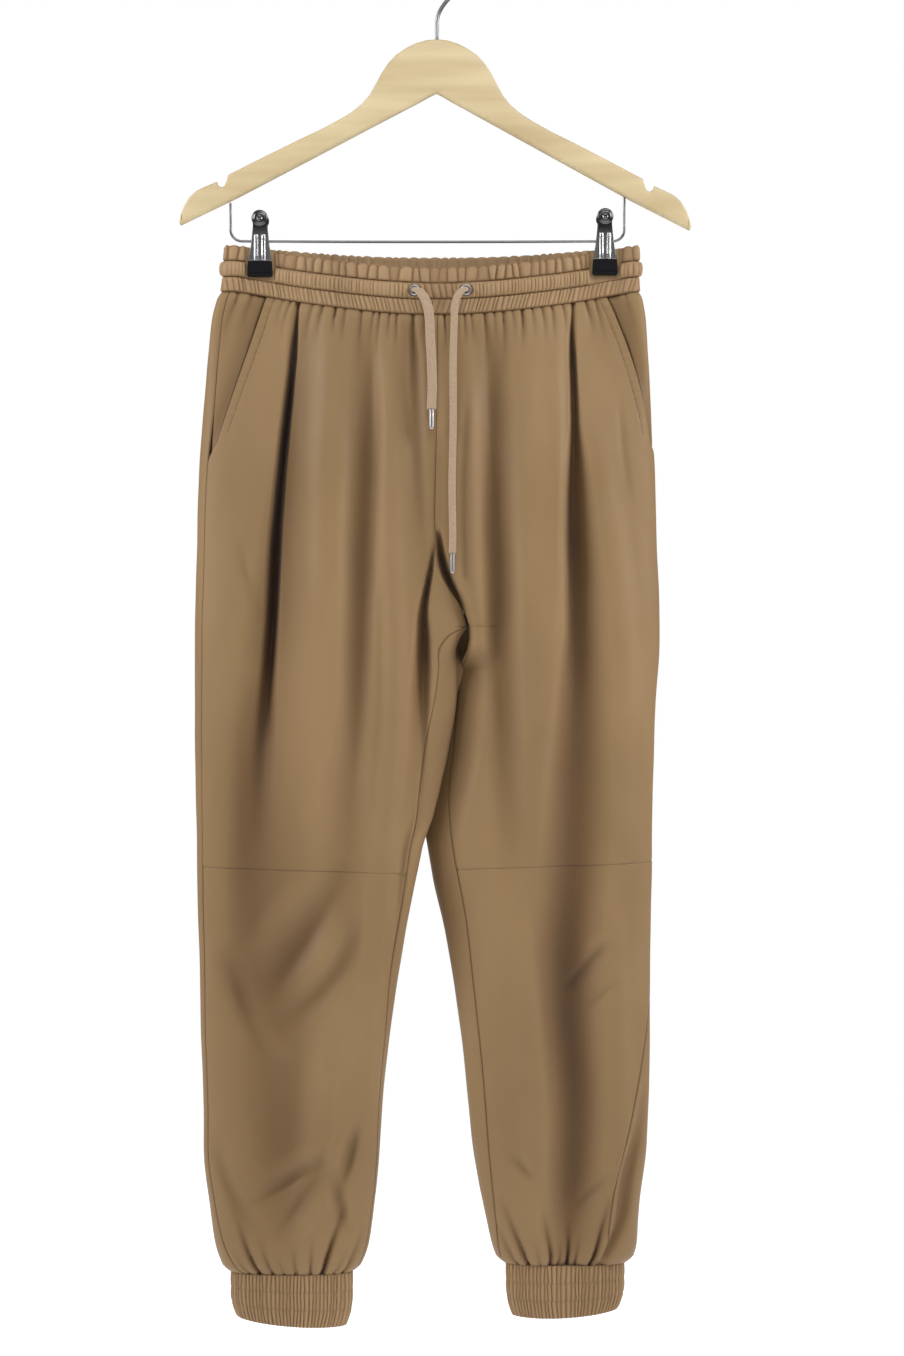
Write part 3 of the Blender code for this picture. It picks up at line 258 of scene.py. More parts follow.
# Gathers that run down from the band: x at the band, depth, half width, length, lean.
WAIST_GATHERS = {
    "front": (
        (-133, 1.2, 3.6, 26, -2), (-126.5, 1.6, 3.0, 30, -3), (-107, 1.5, 4.2, 34, -2),
        (-98.5, 2.2, 3.6, 30, -1), (-87.3, 3.0, 3.2, 24, 1.5), (-78.5, 2.0, 3.6, 34, 0),
        (-64.5, 2.0, 4.0, 44, 1), (-54, 1.6, 3.2, 26, -1), (-49, 2.0, 3.2, 34, 0),
        (-40.3, 1.8, 3.0, 30, -1), (-34.2, 2.0, 3.2, 36, 1), (-20.5, 2.8, 4.6, 40, 3),
        (-10.5, 1.5, 3.0, 26, 0), (6.5, 2.4, 3.4, 34, 1), (15.5, 1.6, 3.0, 24, 0),
        (23.5, 1.8, 3.0, 32, 1), (29.5, 1.8, 2.8, 28, 1), (40.8, 2.2, 3.6, 40, 1),
        (49, 1.4, 3.0, 26, 0), (56.8, 2.2, 3.8, 44, -1), (65, 1.4, 3.0, 28, 0),
        (73.4, 3.0, 3.4, 34, -3), (82, 1.6, 3.2, 26, -1), (90.6, 1.8, 3.4, 30, 0),
        (99.2, 2.0, 3.6, 36, -2), (108.6, 1.6, 3.0, 26, 0), (128.8, 2.2, 3.4, 30, 3),
        (137, 1.8, 3.0, 36, 3), (-160, 1.8, 4.2, 34, -4), (-172, 2.0, 4.0, 40, -5),
        (163, 1.6, 3.6, 32, 4),
    ),
    "back": (
        (-166, 1.6, 4.0, 34, -3), (-151, 1.2, 3.6, 26, -2), (-139, 2.2, 3.6, 36, -2),
        (-128, 1.6, 3.2, 28, -1), (-119, 2.4, 3.6, 44, -2), (-107, 1.8, 3.4, 30, 0),
        (-99, 2.0, 3.4, 36, -1), (-88, 2.6, 3.8, 40, 0), (-78, 1.6, 3.0, 26, 1),
        (-69, 2.2, 3.6, 44, 1), (-57, 1.8, 3.2, 32, 0), (-48, 2.0, 3.4, 30, 0),
        (-37, 2.4, 3.6, 40, 1), (-26, 1.8, 3.2, 28, 0), (-16, 2.2, 3.4, 34, 1),
        (-7, 1.6, 3.0, 26, 0), (8, 2.2, 3.4, 34, 0), (17, 1.6, 3.0, 26, 1),
        (27, 2.2, 3.6, 40, 0), (39, 1.8, 3.2, 30, 1), (48, 2.4, 3.6, 42, 1),
        (60, 1.6, 3.2, 28, 0), (70, 2.2, 3.6, 40, 1), (80, 1.8, 3.2, 30, 0),
        (91, 2.4, 3.8, 44, 1), (102, 1.6, 3.2, 28, 0), (112, 2.0, 3.4, 34, 2),
        (124, 2.2, 3.4, 38, 2), (135, 1.6, 3.2, 26, 2), (147, 1.6, 3.6, 30, 3),
        (160, 1.8, 3.6, 34, 3),
    ),
}

# Gathers that run up from a cuff: x at the hem, depth, half width, length, lean.
HEM_GATHERS = {
    ("right", "front"): (
        (-172, 2.6, 5.0, 62, -16), (-162, 1.0, 3.2, 20, -5), (-153, 2.8, 4.4, 54, -12),
        (-142, 1.7, 3.6, 30, -6), (-133, 0.9, 3.0, 18, -2), (-123, 1.4, 3.6, 26, 0),
        (-111, 1.8, 3.4, 30, 1), (-101, 3.6, 4.6, 60, 12), (-91, 1.1, 3.2, 20, 6),
        (-82.5, 1.8, 3.6, 38, 5),
    ),
    ("right", "back"): (
        (-170, 2.4, 4.2, 34, -6), (-157, 2.0, 3.6, 26, -4), (-146, 2.8, 3.8, 40, -4),
        (-134, 2.0, 3.2, 24, 0), (-123, 2.6, 3.8, 36, 1), (-111, 2.0, 3.4, 26, 1),
        (-100, 2.8, 3.8, 40, 4), (-88, 2.2, 3.6, 30, 4),
    ),
    ("left", "front"): (
        (70, 1.6, 3.8, 34, -8), (79.5, 3.0, 4.2, 50, -10), (90, 1.0, 3.2, 22, -3),
        (98.5, 2.8, 3.8, 44, -2), (104.8, 1.4, 2.8, 20, 1), (111.8, 2.8, 3.4, 34, 3),
        (118.5, 1.6, 3.0, 26, 5), (131.3, 3.4, 4.2, 56, 14), (141, 1.2, 3.4, 24, 6),
        (151, 1.8, 3.8, 32, 8),
    ),
    ("left", "back"): (
        (72, 2.2, 3.8, 32, -4), (83, 2.8, 3.8, 38, -3), (94, 2.0, 3.4, 26, 0),
        (105, 2.6, 3.8, 38, 0), (117, 2.0, 3.4, 26, 1), (128, 2.8, 3.8, 40, 3),
        (140, 2.2, 3.6, 28, 4), (151, 2.4, 3.8, 34, 6),
    ),
}

# Lines down a front where the cloth turns sharply and its columns stand closer: drop, x.
TURNS = {
    ("right", "front"): (
        ((40, -119), (120, -125), (259, -137), (394, -145), (541, -150)),
        ((40, -52), (250, -54), (345, -60), (541, -64)),
        ((40, -8), (291, -7), (342, -11), (424, -12), (541, -20)),
    ),
    ("left", "front"): (
        ((40, 117), (165, 117), (290, 116), (394, 120), (541, 114)),
        ((40, 6), (268, 5), (311, 22), (340, 30), (541, 20)),
    ),
}

# Free drawcords from the eyelet to the tip: x, y, z.
CORD_ROUTES = {
    "right": ((-19.2, -28.0, -288.0), (-18.6, -31.6, -288.0), (-15.6, -35.6, -289.8),
              (-11.4, -38.0, -294.8), (-8.0, -39.4, -303.0), (-6.2, -40.2, -313.0),
              (-5.2, -40.4, -330.0), (-4.2, -40.4, -362.0), (-4.4, -40.2, -391.6)),
    "left": ((25.3, -27.8, -287.8), (24.7, -31.6, -287.8), (21.4, -35.6, -289.8),
             (17.4, -38.2, -295.4), (15.2, -39.8, -304.0), (14.8, -40.6, -316.0),
             (13.9, -41.0, -380.0), (13.4, -41.0, -450.0), (13.4, -41.0, -514.6)),
}
CORD_WIDTH = {"right": 8.1, "left": 6.2}
CORD_THICKNESS = 3.0


# Camera

VIEW_MIDDLE = (13.0, -621.0)
VIEW_DISTANCE = 2600.0
VIEW_HEIGHT = 1175.652
FILM_HEIGHT = 36.0


def make_camera():
    eye = bpy.data.cameras.new("camera")
    eye.sensor_fit = "VERTICAL"
    eye.sensor_height = FILM_HEIGHT
    eye.lens = FILM_HEIGHT * VIEW_DISTANCE / VIEW_HEIGHT
    eye.clip_end = 50
    placed = bpy.data.objects.new("camera", eye)
    placed.location = (VIEW_MIDDLE[0] * MM, -VIEW_DISTANCE * MM, VIEW_MIDDLE[1] * MM)
    placed.rotation_euler = (math.pi / 2, 0, 0)
    bpy.context.scene.collection.objects.link(placed)
    bpy.context.scene.camera = placed


# Curves and eases

NOTCH_SHARPNESS = 1.8


def smooth(table, column, at):
    """A smooth curve through one column of a table whose first column rises."""
    knots = np.array([row[0] for row in table], float)
    values = np.array([row[column] for row in table], float)
    slopes = np.gradient(values, knots)
    at = np.clip(at, knots[0], knots[-1])
    i = np.clip(np.searchsorted(knots, at) - 1, 0, len(knots) - 2)
    span = knots[i + 1] - knots[i]
    q = (at - knots[i]) / span
    start = values[i] * (1 + 2 * q) * (1 - q) ** 2 + slopes[i] * span * q * (1 - q) ** 2
    end = values[i + 1] * q * q * (3 - 2 * q) + slopes[i + 1] * span * q * q * (q - 1)
    return start + end


def ease(value, low, high):
    """0 up to low, 1 from high on, and an even bend between them."""
    q = np.clip((value - low) / (high - low), 0, 1)
    return q * q * (3 - 2 * q)


def within(value, start, full, fade, end):
    """1 from full to fade, and an even bend down to 0 at start and at end."""
    return ease(value, start, full) * (1 - ease(value, fade, end))


def arch(share):
    """0 at both ends and 1 in the middle."""
    return 4 * share * (1 - share)


def bump(distance, width):
    """1 on a line, down to 0 at its half width."""
    return 0.5 + 0.5 * np.cos(math.pi * np.clip(distance / width, -1, 1))


def notch(distance, width):
    """1 on a line and 0 at its half width, with a sharp bottom."""
    return (1 - np.clip(np.abs(distance) / width, 0, 1)) ** NOTCH_SHARPNESS


def unit(vectors):
    return vectors / np.linalg.norm(vectors, axis=-1, keepdims=True)


def lengths_along(points):
    """Length from the first point of each row to each point."""
    steps = np.linalg.norm(np.diff(points, axis=-2), axis=-1).cumsum(axis=-1)
    return np.concatenate([np.zeros((*steps.shape[:-1], 1)), steps], axis=-1)


def along_line(stops, length, line):
    """Points of a line at the given lengths along it."""
    return np.stack([np.interp(stops, length, line[:, axis]) for axis in range(3)], axis=-1)


# The cloth's form

ROUND_POWER = 4  # how late the leg's inner side turns round
EDGE_GRIP = 7  # how soon the cloth leaves its inner edge's own line
CREASE_FADE = 1.3
TROUGH_SHARPNESS = 1.5


def outer_x(side, drop):
    return smooth(LEVELS, COLUMN[side], drop)


def inner_x(side, drop):
    """The centre seam above the crotch and the leg's inner edge below it."""
    centre = smooth(CENTRE_SEAM, 1, drop) + SIGN[side] * GAP / 2
    leg = smooth(INNER_LEG, COLUMN[side], drop)
    return np.where(drop <= CROTCH, centre, leg)


def settled_inner_x(side, drop):
    """The inner edge without its sharp turn at the crotch, for the cloth further out."""
    return sum(inner_x(side, drop + step) for step in CROTCH_SPAN) / len(CROTCH_SPAN)


def rise(drop):
    """1 where the two halves are joined, down to 0 at the crotch, along a round curve."""
    share = np.clip((drop - RISE_START) / (CROTCH - RISE_START), 0, 1)
    return np.sqrt(1 - share**2)


def inner_roundness(drop):
    """The inner side of a section is squarer at the crotch than down the leg."""
    eased = ease(drop, CROTCH, CROTCH + CROTCH_EASE)
    return CROTCH_ROUNDNESS + (ROUNDNESS - CROTCH_ROUNDNESS) * eased


def closing(drop):
    """How far round the inner side of a section has come: 0 at the hip, 1 on the leg."""
    power = inner_roundness(drop)
    return (1 - rise(drop) ** power) ** (1 / power)


def fullest(drop):
    """Share of the width from the inner edge at which a section is deepest."""
    return HIP_FULLEST + (LEG_FULLEST - HIP_FULLEST) * ease(drop, RISE_START, CROTCH)


def station(side, drop, x):
    """The place round a section, 0 at its inner edge to 1 at its outer edge, of an x."""
    share = (x - inner_x(side, drop)) / (outer_x(side, drop) - inner_x(side, drop))
    share = np.clip(share, 0, 1)
    middle = fullest(drop)
    bend = closing(drop) ** ROUND_POWER
    outward = 1 - np.sqrt(1 - np.clip((share - middle) / (1 - middle), 0, 1))
    inward = np.clip((middle - share) / middle, 0, 1)
    root = np.sqrt(np.maximum((1 + bend) ** 2 - 4 * bend * inward, 0))
    inward = 2 * inward / (1 + bend + root)
    return np.where(share > middle, 0.5 + outward / 2, 0.5 - inward / 2)


def droop(x, front):
    """How far the waist hangs between its sides."""
    share = np.clip(1 - (x / WAIST_HALF) ** 2, 0, 1)
    front_sag = FRONT_DROOP[0] * share ** FRONT_DROOP[1]
    return np.where(front, front_sag, BACK_DROOP[0] * share ** BACK_DROOP[1])


def fall_height(line, x, drop):
    """Height of one long fold at each point of the cloth."""
    off = x - smooth(line, 1, drop)
    width = np.where(off < 0, smooth(line, 3, drop), smooth(line, 4, drop))
    return smooth(line, 2, drop) * bump(off, width)


def crease_height(crease, x, drop):
    """Height of one short crease at each point of the cloth."""
    x0, drop0, x1, drop1, height, above, below, bow = crease
    run_x, run_drop = x1 - x0, drop1 - drop0
    length = math.hypot(run_x, run_drop)
    along = ((x - x0) * run_x + (drop - drop0) * run_drop) / length**2
    across = ((drop - drop0) * run_x - (x - x0) * run_drop) / length
    inside = np.clip(along, 0, 1)
    across = across - bow * arch(inside)
    width = np.where(across < 0, above, below)
    shape = bump(across, width) ** (TROUGH_SHARPNESS if height < 0 else 1)
    return height * shape * np.clip(arch(inside), 0, 1) ** CREASE_FADE


def folds(side, face, x, drop):
    """Height of all the folds on one face of one side."""
    height = np.zeros(np.shape(x))
    for line in FALLS[side, face]:
        height = height + fall_height(line, x, drop)
    for crease in CREASES[side, face]:
        height = height + crease_height(crease, x, drop)
    return height


CROSSING = (346.0, 368.0, 492.0, 524.0)  # drops over which one leg overlaps the other
BEHIND_OTHER = (346.0, 368.0, 560.0, 680.0)  # drops over which it stands further back
CROSSING_REACH = 34.0
CROSSING_FLATNESS = 0.62
CROSSING_MOVE = {"right": (3.2, -7.0), "left": (-3.6, 9.0)}  # sideways and back
BEHIND = (318.0, 328.0, 366.0, 396.0)  # drops over which the backs fill the fork's hollow
BEHIND_MOVE = {"right": 6.0, "left": -9.0}
BEHIND_DEPTH = (0.0, 12.0)


def cloth_point(side, t, drop, folded=True):
    """A point of the cloth's outer face.  t runs from the centre front or inseam (0) round the
    side (1) to the centre back or inseam (2), and below the crotch on into the front again."""
    t = np.where(t > 2, t - 2, t)
    front = t <= 1
    u = np.where(front, t, 2 - t)
    middle = fullest(drop)
    closed = closing(drop)
    q = np.abs(2 * u - 1)
    outward = 1 - (1 - q) ** 2
    inward = (1 - closed**ROUND_POWER) * q + closed**ROUND_POWER * outward
    share = np.where(u > 0.5, middle + (1 - middle) * outward, middle * (1 - inward))
    edge, inner = inner_x(side, drop), settled_inner_x(side, drop)
    x = inner + (outer_x(side, drop) - inner) * share + (edge - inner) * (1 - share) ** EDGE_GRIP
    reach = np.where(u > 0.5, outward, closed * inward)
    power = np.where(u > 0.5, ROUNDNESS, inner_roundness(drop))
    fullness = np.maximum(1 - reach**power, 0) ** (1 / power)
    depth = np.where(front, smooth(LEVELS, 3, drop), smooth(LEVELS, 4, drop)) * fullness
    waist = np.where(front, smooth(WAIST_DEPTH, 1, share), smooth(WAIST_DEPTH, 2, share))
    waist = waist * np.sqrt(np.maximum(1 - share**WAIST_CORNER, 0))
    depth = depth + (waist - depth) * (1 - ease(drop, *WAIST_EASE))
    level = drop + droop(x, front) * (1 - ease(drop, BAND_HEIGHT, RISE_START))
    if folded:
        height = np.where(front, folds(side, "front", x, level), folds(side, "back", x, level))
        depth = depth + height * np.clip(fullness / FOLD_FADE, 0, 1)
    y = np.where(front, -depth, depth)
    crossing = within(drop, *CROSSING)
    near = 1 - ease((x - inner) * SIGN[side], 0, CROSSING_REACH)
    behind = within(drop, *BEHIND) * ease(y, *BEHIND_DEPTH)
    x = x + np.where(front, 0, BEHIND_MOVE[side] * near * behind)
    x = x + CROSSING_MOVE[side][0] * near * crossing
    y = y * (1 - CROSSING_FLATNESS * near * crossing)
    if folded:
        y = y + CROSSING_MOVE[side][1] * near * within(drop, *BEHIND_OTHER)
    return np.stack([x, y, WAIST_Z - level], axis=-1)


def side_seam(side, drop):
    inset = smooth(SEAM_INSETS, COLUMN[side], drop)
    at = station(side, drop, outer_x(side, drop) - SIGN[side] * np.abs(inset))
    return np.where(inset > 0, at, 2 - at)


def inseam(side, drop):
    inset = smooth(SEAM_INSETS, COLUMN[side] + 2, drop)
    at = station(side, drop, inner_x(side, drop) + SIGN[side] * np.maximum(inset, 0))
    return np.where(drop > CROTCH, at, 0)


def pocket_edge(side, drop):
    """The opening's edge, which runs into the side seam at its lower end."""
    at = station(side, drop, smooth(POCKET, COLUMN[side], drop))
    seam = side_seam(side, drop)
    return at + (seam - at) * ease(drop, POCKET_END - POCKET_MERGE, POCKET_END)


def step_in(side, t, drop, way, reach=GAP / 2):
    """Moves an edge some way round the cloth, by half a gap if nothing else is said; way is +1
    or -1 along t."""
    steps = np.concatenate([[0], np.geomspace(1e-6, 0.25, 160)])
    t_steps = t[:, None] + way * steps[None, :]
    drops = np.broadcast_to(drop[:, None], t_steps.shape)
    points = cloth_point(side, np.clip(t_steps, 0, ROUND_BEND), drops, folded=False)
    moved = [np.interp(reach, row, steps) for row in lengths_along(points)]
    return t + way * np.array(moved)


# Meshes


def new_piece(name, points, faces):
    """A smooth piece of points and faces."""
    mesh = bpy.data.meshes.new(name)
    mesh.from_pydata((np.array(points) * MM).tolist(), [], faces)
    mesh.shade_smooth()
    made = bpy.data.objects.new(name, mesh)
    bpy.context.scene.collection.objects.link(made)
    return made


def tube_faces(start, rings, sides):
    """Faces round a tube whose rings of points follow each other."""
    faces = []
    for ring in range(rings - 1):
        for k in range(sides):
            a, b = start + ring * sides + k, start + ring * sides + (k + 1) % sides
            faces.append([a, b, b + sides, a + sides])
    return faces


def shell(name, outer, inner, hollow, skip=2, ring=False):
    """A closed wall between a grid of points and an inner grid that has every skip-th of its rows
    and columns.  A ring joins its last column to its first.  The values given for the outer grid
    say how much painted shade darkens each of its points, mostly by how deep in a fold it lies."""
    rows, columns = outer.shape[:2]
    inner = inner[::skip, ::skip]
    inner_rows, inner_columns = inner.shape[:2]
    cells = columns if ring else columns - 1
    inner_cells = inner_columns if ring else inner_columns - 1

    def outer_at(row, column):
        return row * columns + column % columns

    def inner_at(row, column):
        return rows * columns + row * inner_columns + column % inner_columns

    def quads(place, rows, cells):
        r, c = np.meshgrid(np.arange(rows - 1), np.arange(cells), indexing="ij")
        corners = [place(r, c), place(r, c + 1), place(r + 1, c + 1), place(r + 1, c)]
        return np.stack(corners, axis=-1).reshape(-1, 4).tolist()

    def rim(outer_run, inner_run, way):
        return [*outer_run[::-way], *inner_run[::way]]

    faces = quads(outer_at, rows, cells)
    faces += [[quad[0], *quad[:0:-1]] for quad in quads(inner_at, inner_rows, inner_cells)]
    for row, inner_row, way in ((0, 0, 1), (rows - 1, inner_rows - 1, -1)):
        for cell in range(inner_cells):
            faces.append(rim([outer_at(row, cell * skip + k) for k in range(skip + 1)],
                             [inner_at(inner_row, cell + k) for k in (0, 1)], way))
    if not ring:
        for column, inner_column, way in ((0, 0, -1), (columns - 1, inner_columns - 1, 1)):
            for cell in range(inner_rows - 1):
                faces.append(rim([outer_at(cell * skip + k, column) for k in range(skip + 1)],
                                 [inner_at(cell + k, inner_column) for k in (0, 1)], way))
    corner = outer[0, 0]
    if (inner[0, 0] - corner) @ np.cross(outer[0, 1] - corner, outer[1, 0] - corner) > 0:
        faces = [face[::-1] for face in faces]
    made = new_piece(name, np.concatenate([outer.reshape(-1, 3), inner.reshape(-1, 3)]), faces)
    made.data.set_sharp_from_angle(angle=SHARP_ANGLE)
    values = np.concatenate([hollow.ravel(), hollow[::skip, ::skip].ravel()])
    made.data.attributes.new("hollow", "FLOAT", "POINT").data.foreach_set("value", values)
    return made


def finish_piece(made, slot, finish, *nodes):
    """Gives a piece its finish, lets it ride, and has it stand for its CAD nodes; the slot is not
    used.
    """
    made.data.materials.clear()
    made.data.materials.append(finish)
    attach(made, "root")
    if nodes:
        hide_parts(*nodes)
    return made


def grid_normals(points, outward):
    """Directions out of a grid of points."""
    normal = np.cross(np.gradient(points, axis=1), np.gradient(points, axis=0))
    normal /= np.maximum(np.linalg.norm(normal, axis=-1, keepdims=True), 1e-9)
    return normal * outward


def level_normal(normal):
    """The same direction turned level, so that rows meet edge to edge."""
    return unit(normal * (1, 1, 0))


EDGE_STEPS = np.array([0, 0.5, 1.1, 2.0, 3.4])


def fine_edges(start, end, step):
    """An odd number of levels from start to end, close together at both ends."""
    reach = EDGE_STEPS[-1]
    middle = max(int((end - start - 2 * reach) / step), 2)
    middle += middle % 2
    inside = np.linspace(start + reach, end - reach, middle + 1)
    return np.concatenate([start + EDGE_STEPS[:-1], inside, end - EDGE_STEPS[:-1][::-1]])


CALM_REACH = 40.0  # how far up and down an edge is evened out for the columns away from it
CALM_STEPS = 17
EDGE_PULL = 7  # how quickly the columns stop following their edge
FINE_COUNT = 500
SEAM_CROWD = (4, 1.6)  # how much closer columns stand at a seam, and over what width
TURN_CROWD = (1.6, 7)
FACING_MIDDLE = (0.5, 1.5)  # where a front and a back face the viewer squarely


def calm(edge, drop):
    steps = np.linspace(-CALM_REACH, CALM_REACH, CALM_STEPS)
    return sum(np.interp(drop + step, drop, edge) for step in steps) / CALM_STEPS


def spread_columns(side, first, last, drop, count, turns=(), even_out=True):
    """Columns in even steps of cloth, closer together at the seams and where it turns."""
    whole = np.linspace(0, 1, FINE_COUNT)
    t = first[:, None] + (last - first)[:, None] * (0.5 - 0.5 * np.cos(math.pi * whole))
    grid = np.broadcast_to(drop[:, None], t.shape)
    points = cloth_point(side, t, grid, folded=False)
    along = lengths_along(points)
    middle = (along[:, 1:] + along[:, :-1]) / 2
    x = (points[:, 1:, 0] + points[:, :-1, 0]) / 2
    crowd, reach = SEAM_CROWD
    weight = (1 + crowd * np.exp(-middle / reach)
              + crowd * np.exp(-(along[:, -1:] - middle) / reach))
    for turn in turns:
        knots = np.array(turn, float)
        off = x - np.interp(drop, knots[:, 0], knots[:, 1])[:, None]
        weight = weight + TURN_CROWD[0] * np.exp(-((off / TURN_CROWD[1]) ** 2))
    stops = np.concatenate([np.zeros((len(t), 1)),
                            (np.diff(along, axis=1) * weight).cumsum(axis=1)], axis=1)
    facing_middle = FACING_MIDDLE[0] if last[0] < FACING_MIDDLE[1] else FACING_MIDDLE[1]
    halfway = np.array([np.interp(facing_middle, *rows) for rows in zip(t, stops)])
    low, high = -halfway, stops[:, -1] - halfway
    calm_low = calm(low, drop) if even_out else low
    calm_high = calm(high, drop) if even_out else high
    even = np.linspace(0, 1, count + 1)
    columns = []
    for row in range(len(drop)):
        target = (halfway[row] + calm_low[row] + (calm_high[row] - calm_low[row]) * even
                  + (low[row] - calm_low[row]) * (1 - even) ** EDGE_PULL
                  + (high[row] - calm_high[row]) * even ** EDGE_PULL)
        columns.append(np.interp(target, stops[row], t[row]))
    return np.array(columns)


EDGE_ROLL = (1.0, 2.8)  # how deep a seamed edge turns in, and over what width
KNEE_ROLL = 0.7
POCKET_ROLL = 0.35


def roll(distance, size=1.0):
    """How far the cloth turns in at a seam."""
    depth, width = EDGE_ROLL[0] * size, EDGE_ROLL[1]
    return depth * (1 - np.sqrt(np.clip(1 - (1 - np.clip(distance / width, 0, 1)) ** 2, 0, 1)))


GATHER_FADE = 1.3
GATHER_SPREAD = (0.6, 1.1)  # share of its width at its start, and how much that grows


def gathers(table, side, t, along, level, start, way):
    """Depth of a row of gathers that run from one level up (-1) or down (1) the cloth."""
    depth = np.zeros(t.shape)
    for face, x, deep, width, length, lean in table:
        place = (level - start) * way / length
        lines = []
        for row in range(len(t)):
            share = min(max(float(place[row].mean()), 0), 1)
            at = station(side, np.array([start]), np.array([x + lean * share]))[0]
            at = at if face == "front" else 2 - at
            lines.append(np.interp(at, t[row], along[row], left=-99, right=-99))
        off = along - np.array(lines)[:, None]
        share = np.clip(place, 0, 1)
        fade = np.where(place < 0, 1, (1 - share) ** GATHER_FADE)
        spread = GATHER_SPREAD[0] + GATHER_SPREAD[1] * share
        depth = depth + deep * fade * notch(off, width * spread)
    return depth


RIPPLE_HEIGHT = 0.35


def soft_ripple(points):
    """Slight unevenness of hanging cloth: a slow wave and a quick one."""
    x, y, z = points[..., 0], points[..., 1], points[..., 2]
    slow = np.sin(x / 13.0 + np.sin(z / 41.0) * 1.7 + 0.6) * np.sin(z / 37.0 + x / 61.0 + 1.1)
    quick = np.sin(x / 5.3 + z / 29.0 + 0.4 + y / 9.0) * np.sin(z / 11.0 - x / 17.0 + 2.0)
    return RIPPLE_HEIGHT * (slow + 0.35 * quick)


WAIST_PUFF = 1.6
HEM_PUFF = 3.0
PUFF_SPAN = (0, 7, 8, 60)  # how far from its gathers the cloth puffs out
SIDE_FADE = (0.5, 7)  # how near the outline the gathers fade
ROLL_REACH = 8.0  # depth of cloth over which an inner edge gains its full roll
KNEE_ROWS = 12.0  # how far from the knee its seam's rows can be
# Painted shade: a point's depth in a fold darkens its colour, fully at this depth, and seams,
# gathers and sunken strips count deeper than they are.
PAINTED_SHADE_DEPTH = 18.0
SEAM_SHADE = 8.0  # how much deeper than it is the turn at a seam counts for the painted shade
ROW_SHADE = 0.45  # the share of that at a seam across the cloth
GATHER_SHADE = 4
SINK_SHADE = 1.8
SEAM_SLANT = 1.2  # how far a centre seam's two edges lean under each other
SLANT_REACH = 1.5
SLANT_END = (270, 325)  # drops over which the slant fades


def dress_panel(name, side, t, drop, waist=(), hem=(), inner_edge=None, sink=0.0, last_roll=1.0,
                shade=0.0):
    """One cut piece of cloth, with turned edges, gathers and slight unevenness.  The inner edge
    is its first column, its last one, or none."""
    points = cloth_point(side, t, drop)
    normal = grid_normals(points, -SIGN[side])
    along = lengths_along(points)
    from_edge = {0: along, -1: along[:, -1:] - along}
    sizes = [KNEE_ROLL if abs(float(row.mean()) - KNEE) < KNEE_ROWS else 1.0
             for row in (drop[0], drop[-1])]
    lift = -roll(drop - drop[0], sizes[0]) - roll(drop[-1] - drop, sizes[1])
    moved = np.zeros(points.shape)
    seamed = -lift * ROW_SHADE
    for edge, distance in from_edge.items():
        turn = roll(distance, last_roll if edge == -1 else 1.0)
        seamed = seamed + turn
        if edge == inner_edge:
            deep = turn * ease(np.abs(points[..., 1]), 0, ROLL_REACH)
            moved[..., 1] = -np.sign(points[..., 1]) * deep
        else:
            lift = lift - turn
    gathered = np.zeros(drop.shape)
    for table, start, way, puff in ((waist, BAND_HEIGHT, 1, WAIST_PUFF),
                                    (hem, HEM[side], -1, HEM_PUFF)):
        if table:
            gathered = gathered + gathers(table, side, t, along, drop, start, way)
            lift = lift + puff * within((drop - start) * way, *PUFF_SPAN)
    gathered = gathered * ease(np.abs(outer_x(side, drop) - points[..., 0]), *SIDE_FADE)
    lift = lift - gathered + soft_ripple(points) - sink
    normal[[0, -1]] = level_normal(normal[[0, -1]])
    outer = points + moved + normal * lift[..., None]
    inner = outer - normal * CLOTH
    if inner_edge is not None:
        leaning = np.exp(-from_edge[inner_edge] / SLANT_REACH) * (1 - ease(drop, *SLANT_END))
        inner[..., 0] += SEAM_SLANT * leaning
    # Painted shade: how deep each point lies in a fold, with gathers, sunken strips, seams and any
    # given shade counted deeper, darkens its colour.
    flat = cloth_point(side, t, drop, folded=False)
    sunk = np.abs(flat[..., 1]) - np.abs(points[..., 1]) + gathered * GATHER_SHADE
    sunk = sunk + sink * SINK_SHADE + seamed * SEAM_SHADE + shade
    return shell(name, outer, inner, sunk / PAINTED_SHADE_DEPTH), outer, along


# How much larger the gathers are than their rows say: depth, width, length.
WAIST_SIZE = (1.2, 1.35, 1.3)
HEM_SIZE = (1.7, 1.3, 1.25)


def sized(rows, face, size):
    """Gathers on a face, with their depth, width and length made larger."""
    deep, wide, long = size
    return [(face, x, deep * depth, wide * width, long * length, lean)
            for x, depth, width, length, lean in rows]


def waist_rows(side, face):
    rows = [row for row in WAIST_GATHERS[face] if (row[0] < 0) == (side == "right")]
    return sized(rows, face, WAIST_SIZE)


def hem_rows(side, face):
    return sized(HEM_GATHERS[side, face], face, HEM_SIZE)


FORK_REACH = 44.0  # below the crotch, where the rows still stand close
FORK_ROWS = 29
EDGE_ROWS = len(EDGE_STEPS) - 1
ROW_STEPS = {"upper": 3.0, "thigh": 3.3, "lower": 3.0, "back": 3.6, "facing": 3.0}
PANEL_COLUMNS = {"upper": 170, "lower": 120, "back": 120, "facing": 30}
SPARE_ROWS = {"upper": 50, "back": 140}  # the row left out where their number has to be odd


def upper_drops():
    quarter = np.linspace(0, math.pi / 2, FORK_ROWS)
    curve = RISE_START + (CROTCH - RISE_START) * np.sin(quarter)
    fork = CROTCH + FORK_REACH * (1 - np.cos(quarter[1:]))
    above = fine_edges(BAND_HEIGHT + GAP, RISE_START, ROW_STEPS["upper"])[:-EDGE_ROWS]
    below = fine_edges(CROTCH + FORK_REACH, KNEE, ROW_STEPS["thigh"])[EDGE_ROWS:]
    rows = np.concatenate([above, curve, fork, below])
    return rows if len(rows) % 2 else np.delete(rows, SPARE_ROWS["upper"])


def knee_slope(side, t, first, last):
    """How far the knee's seam hangs below its middle at each column."""
    low, high = KNEE_SLOPE[side]
    return low + (high - low) * (t - first[:, None]) / (last - first)[:, None]


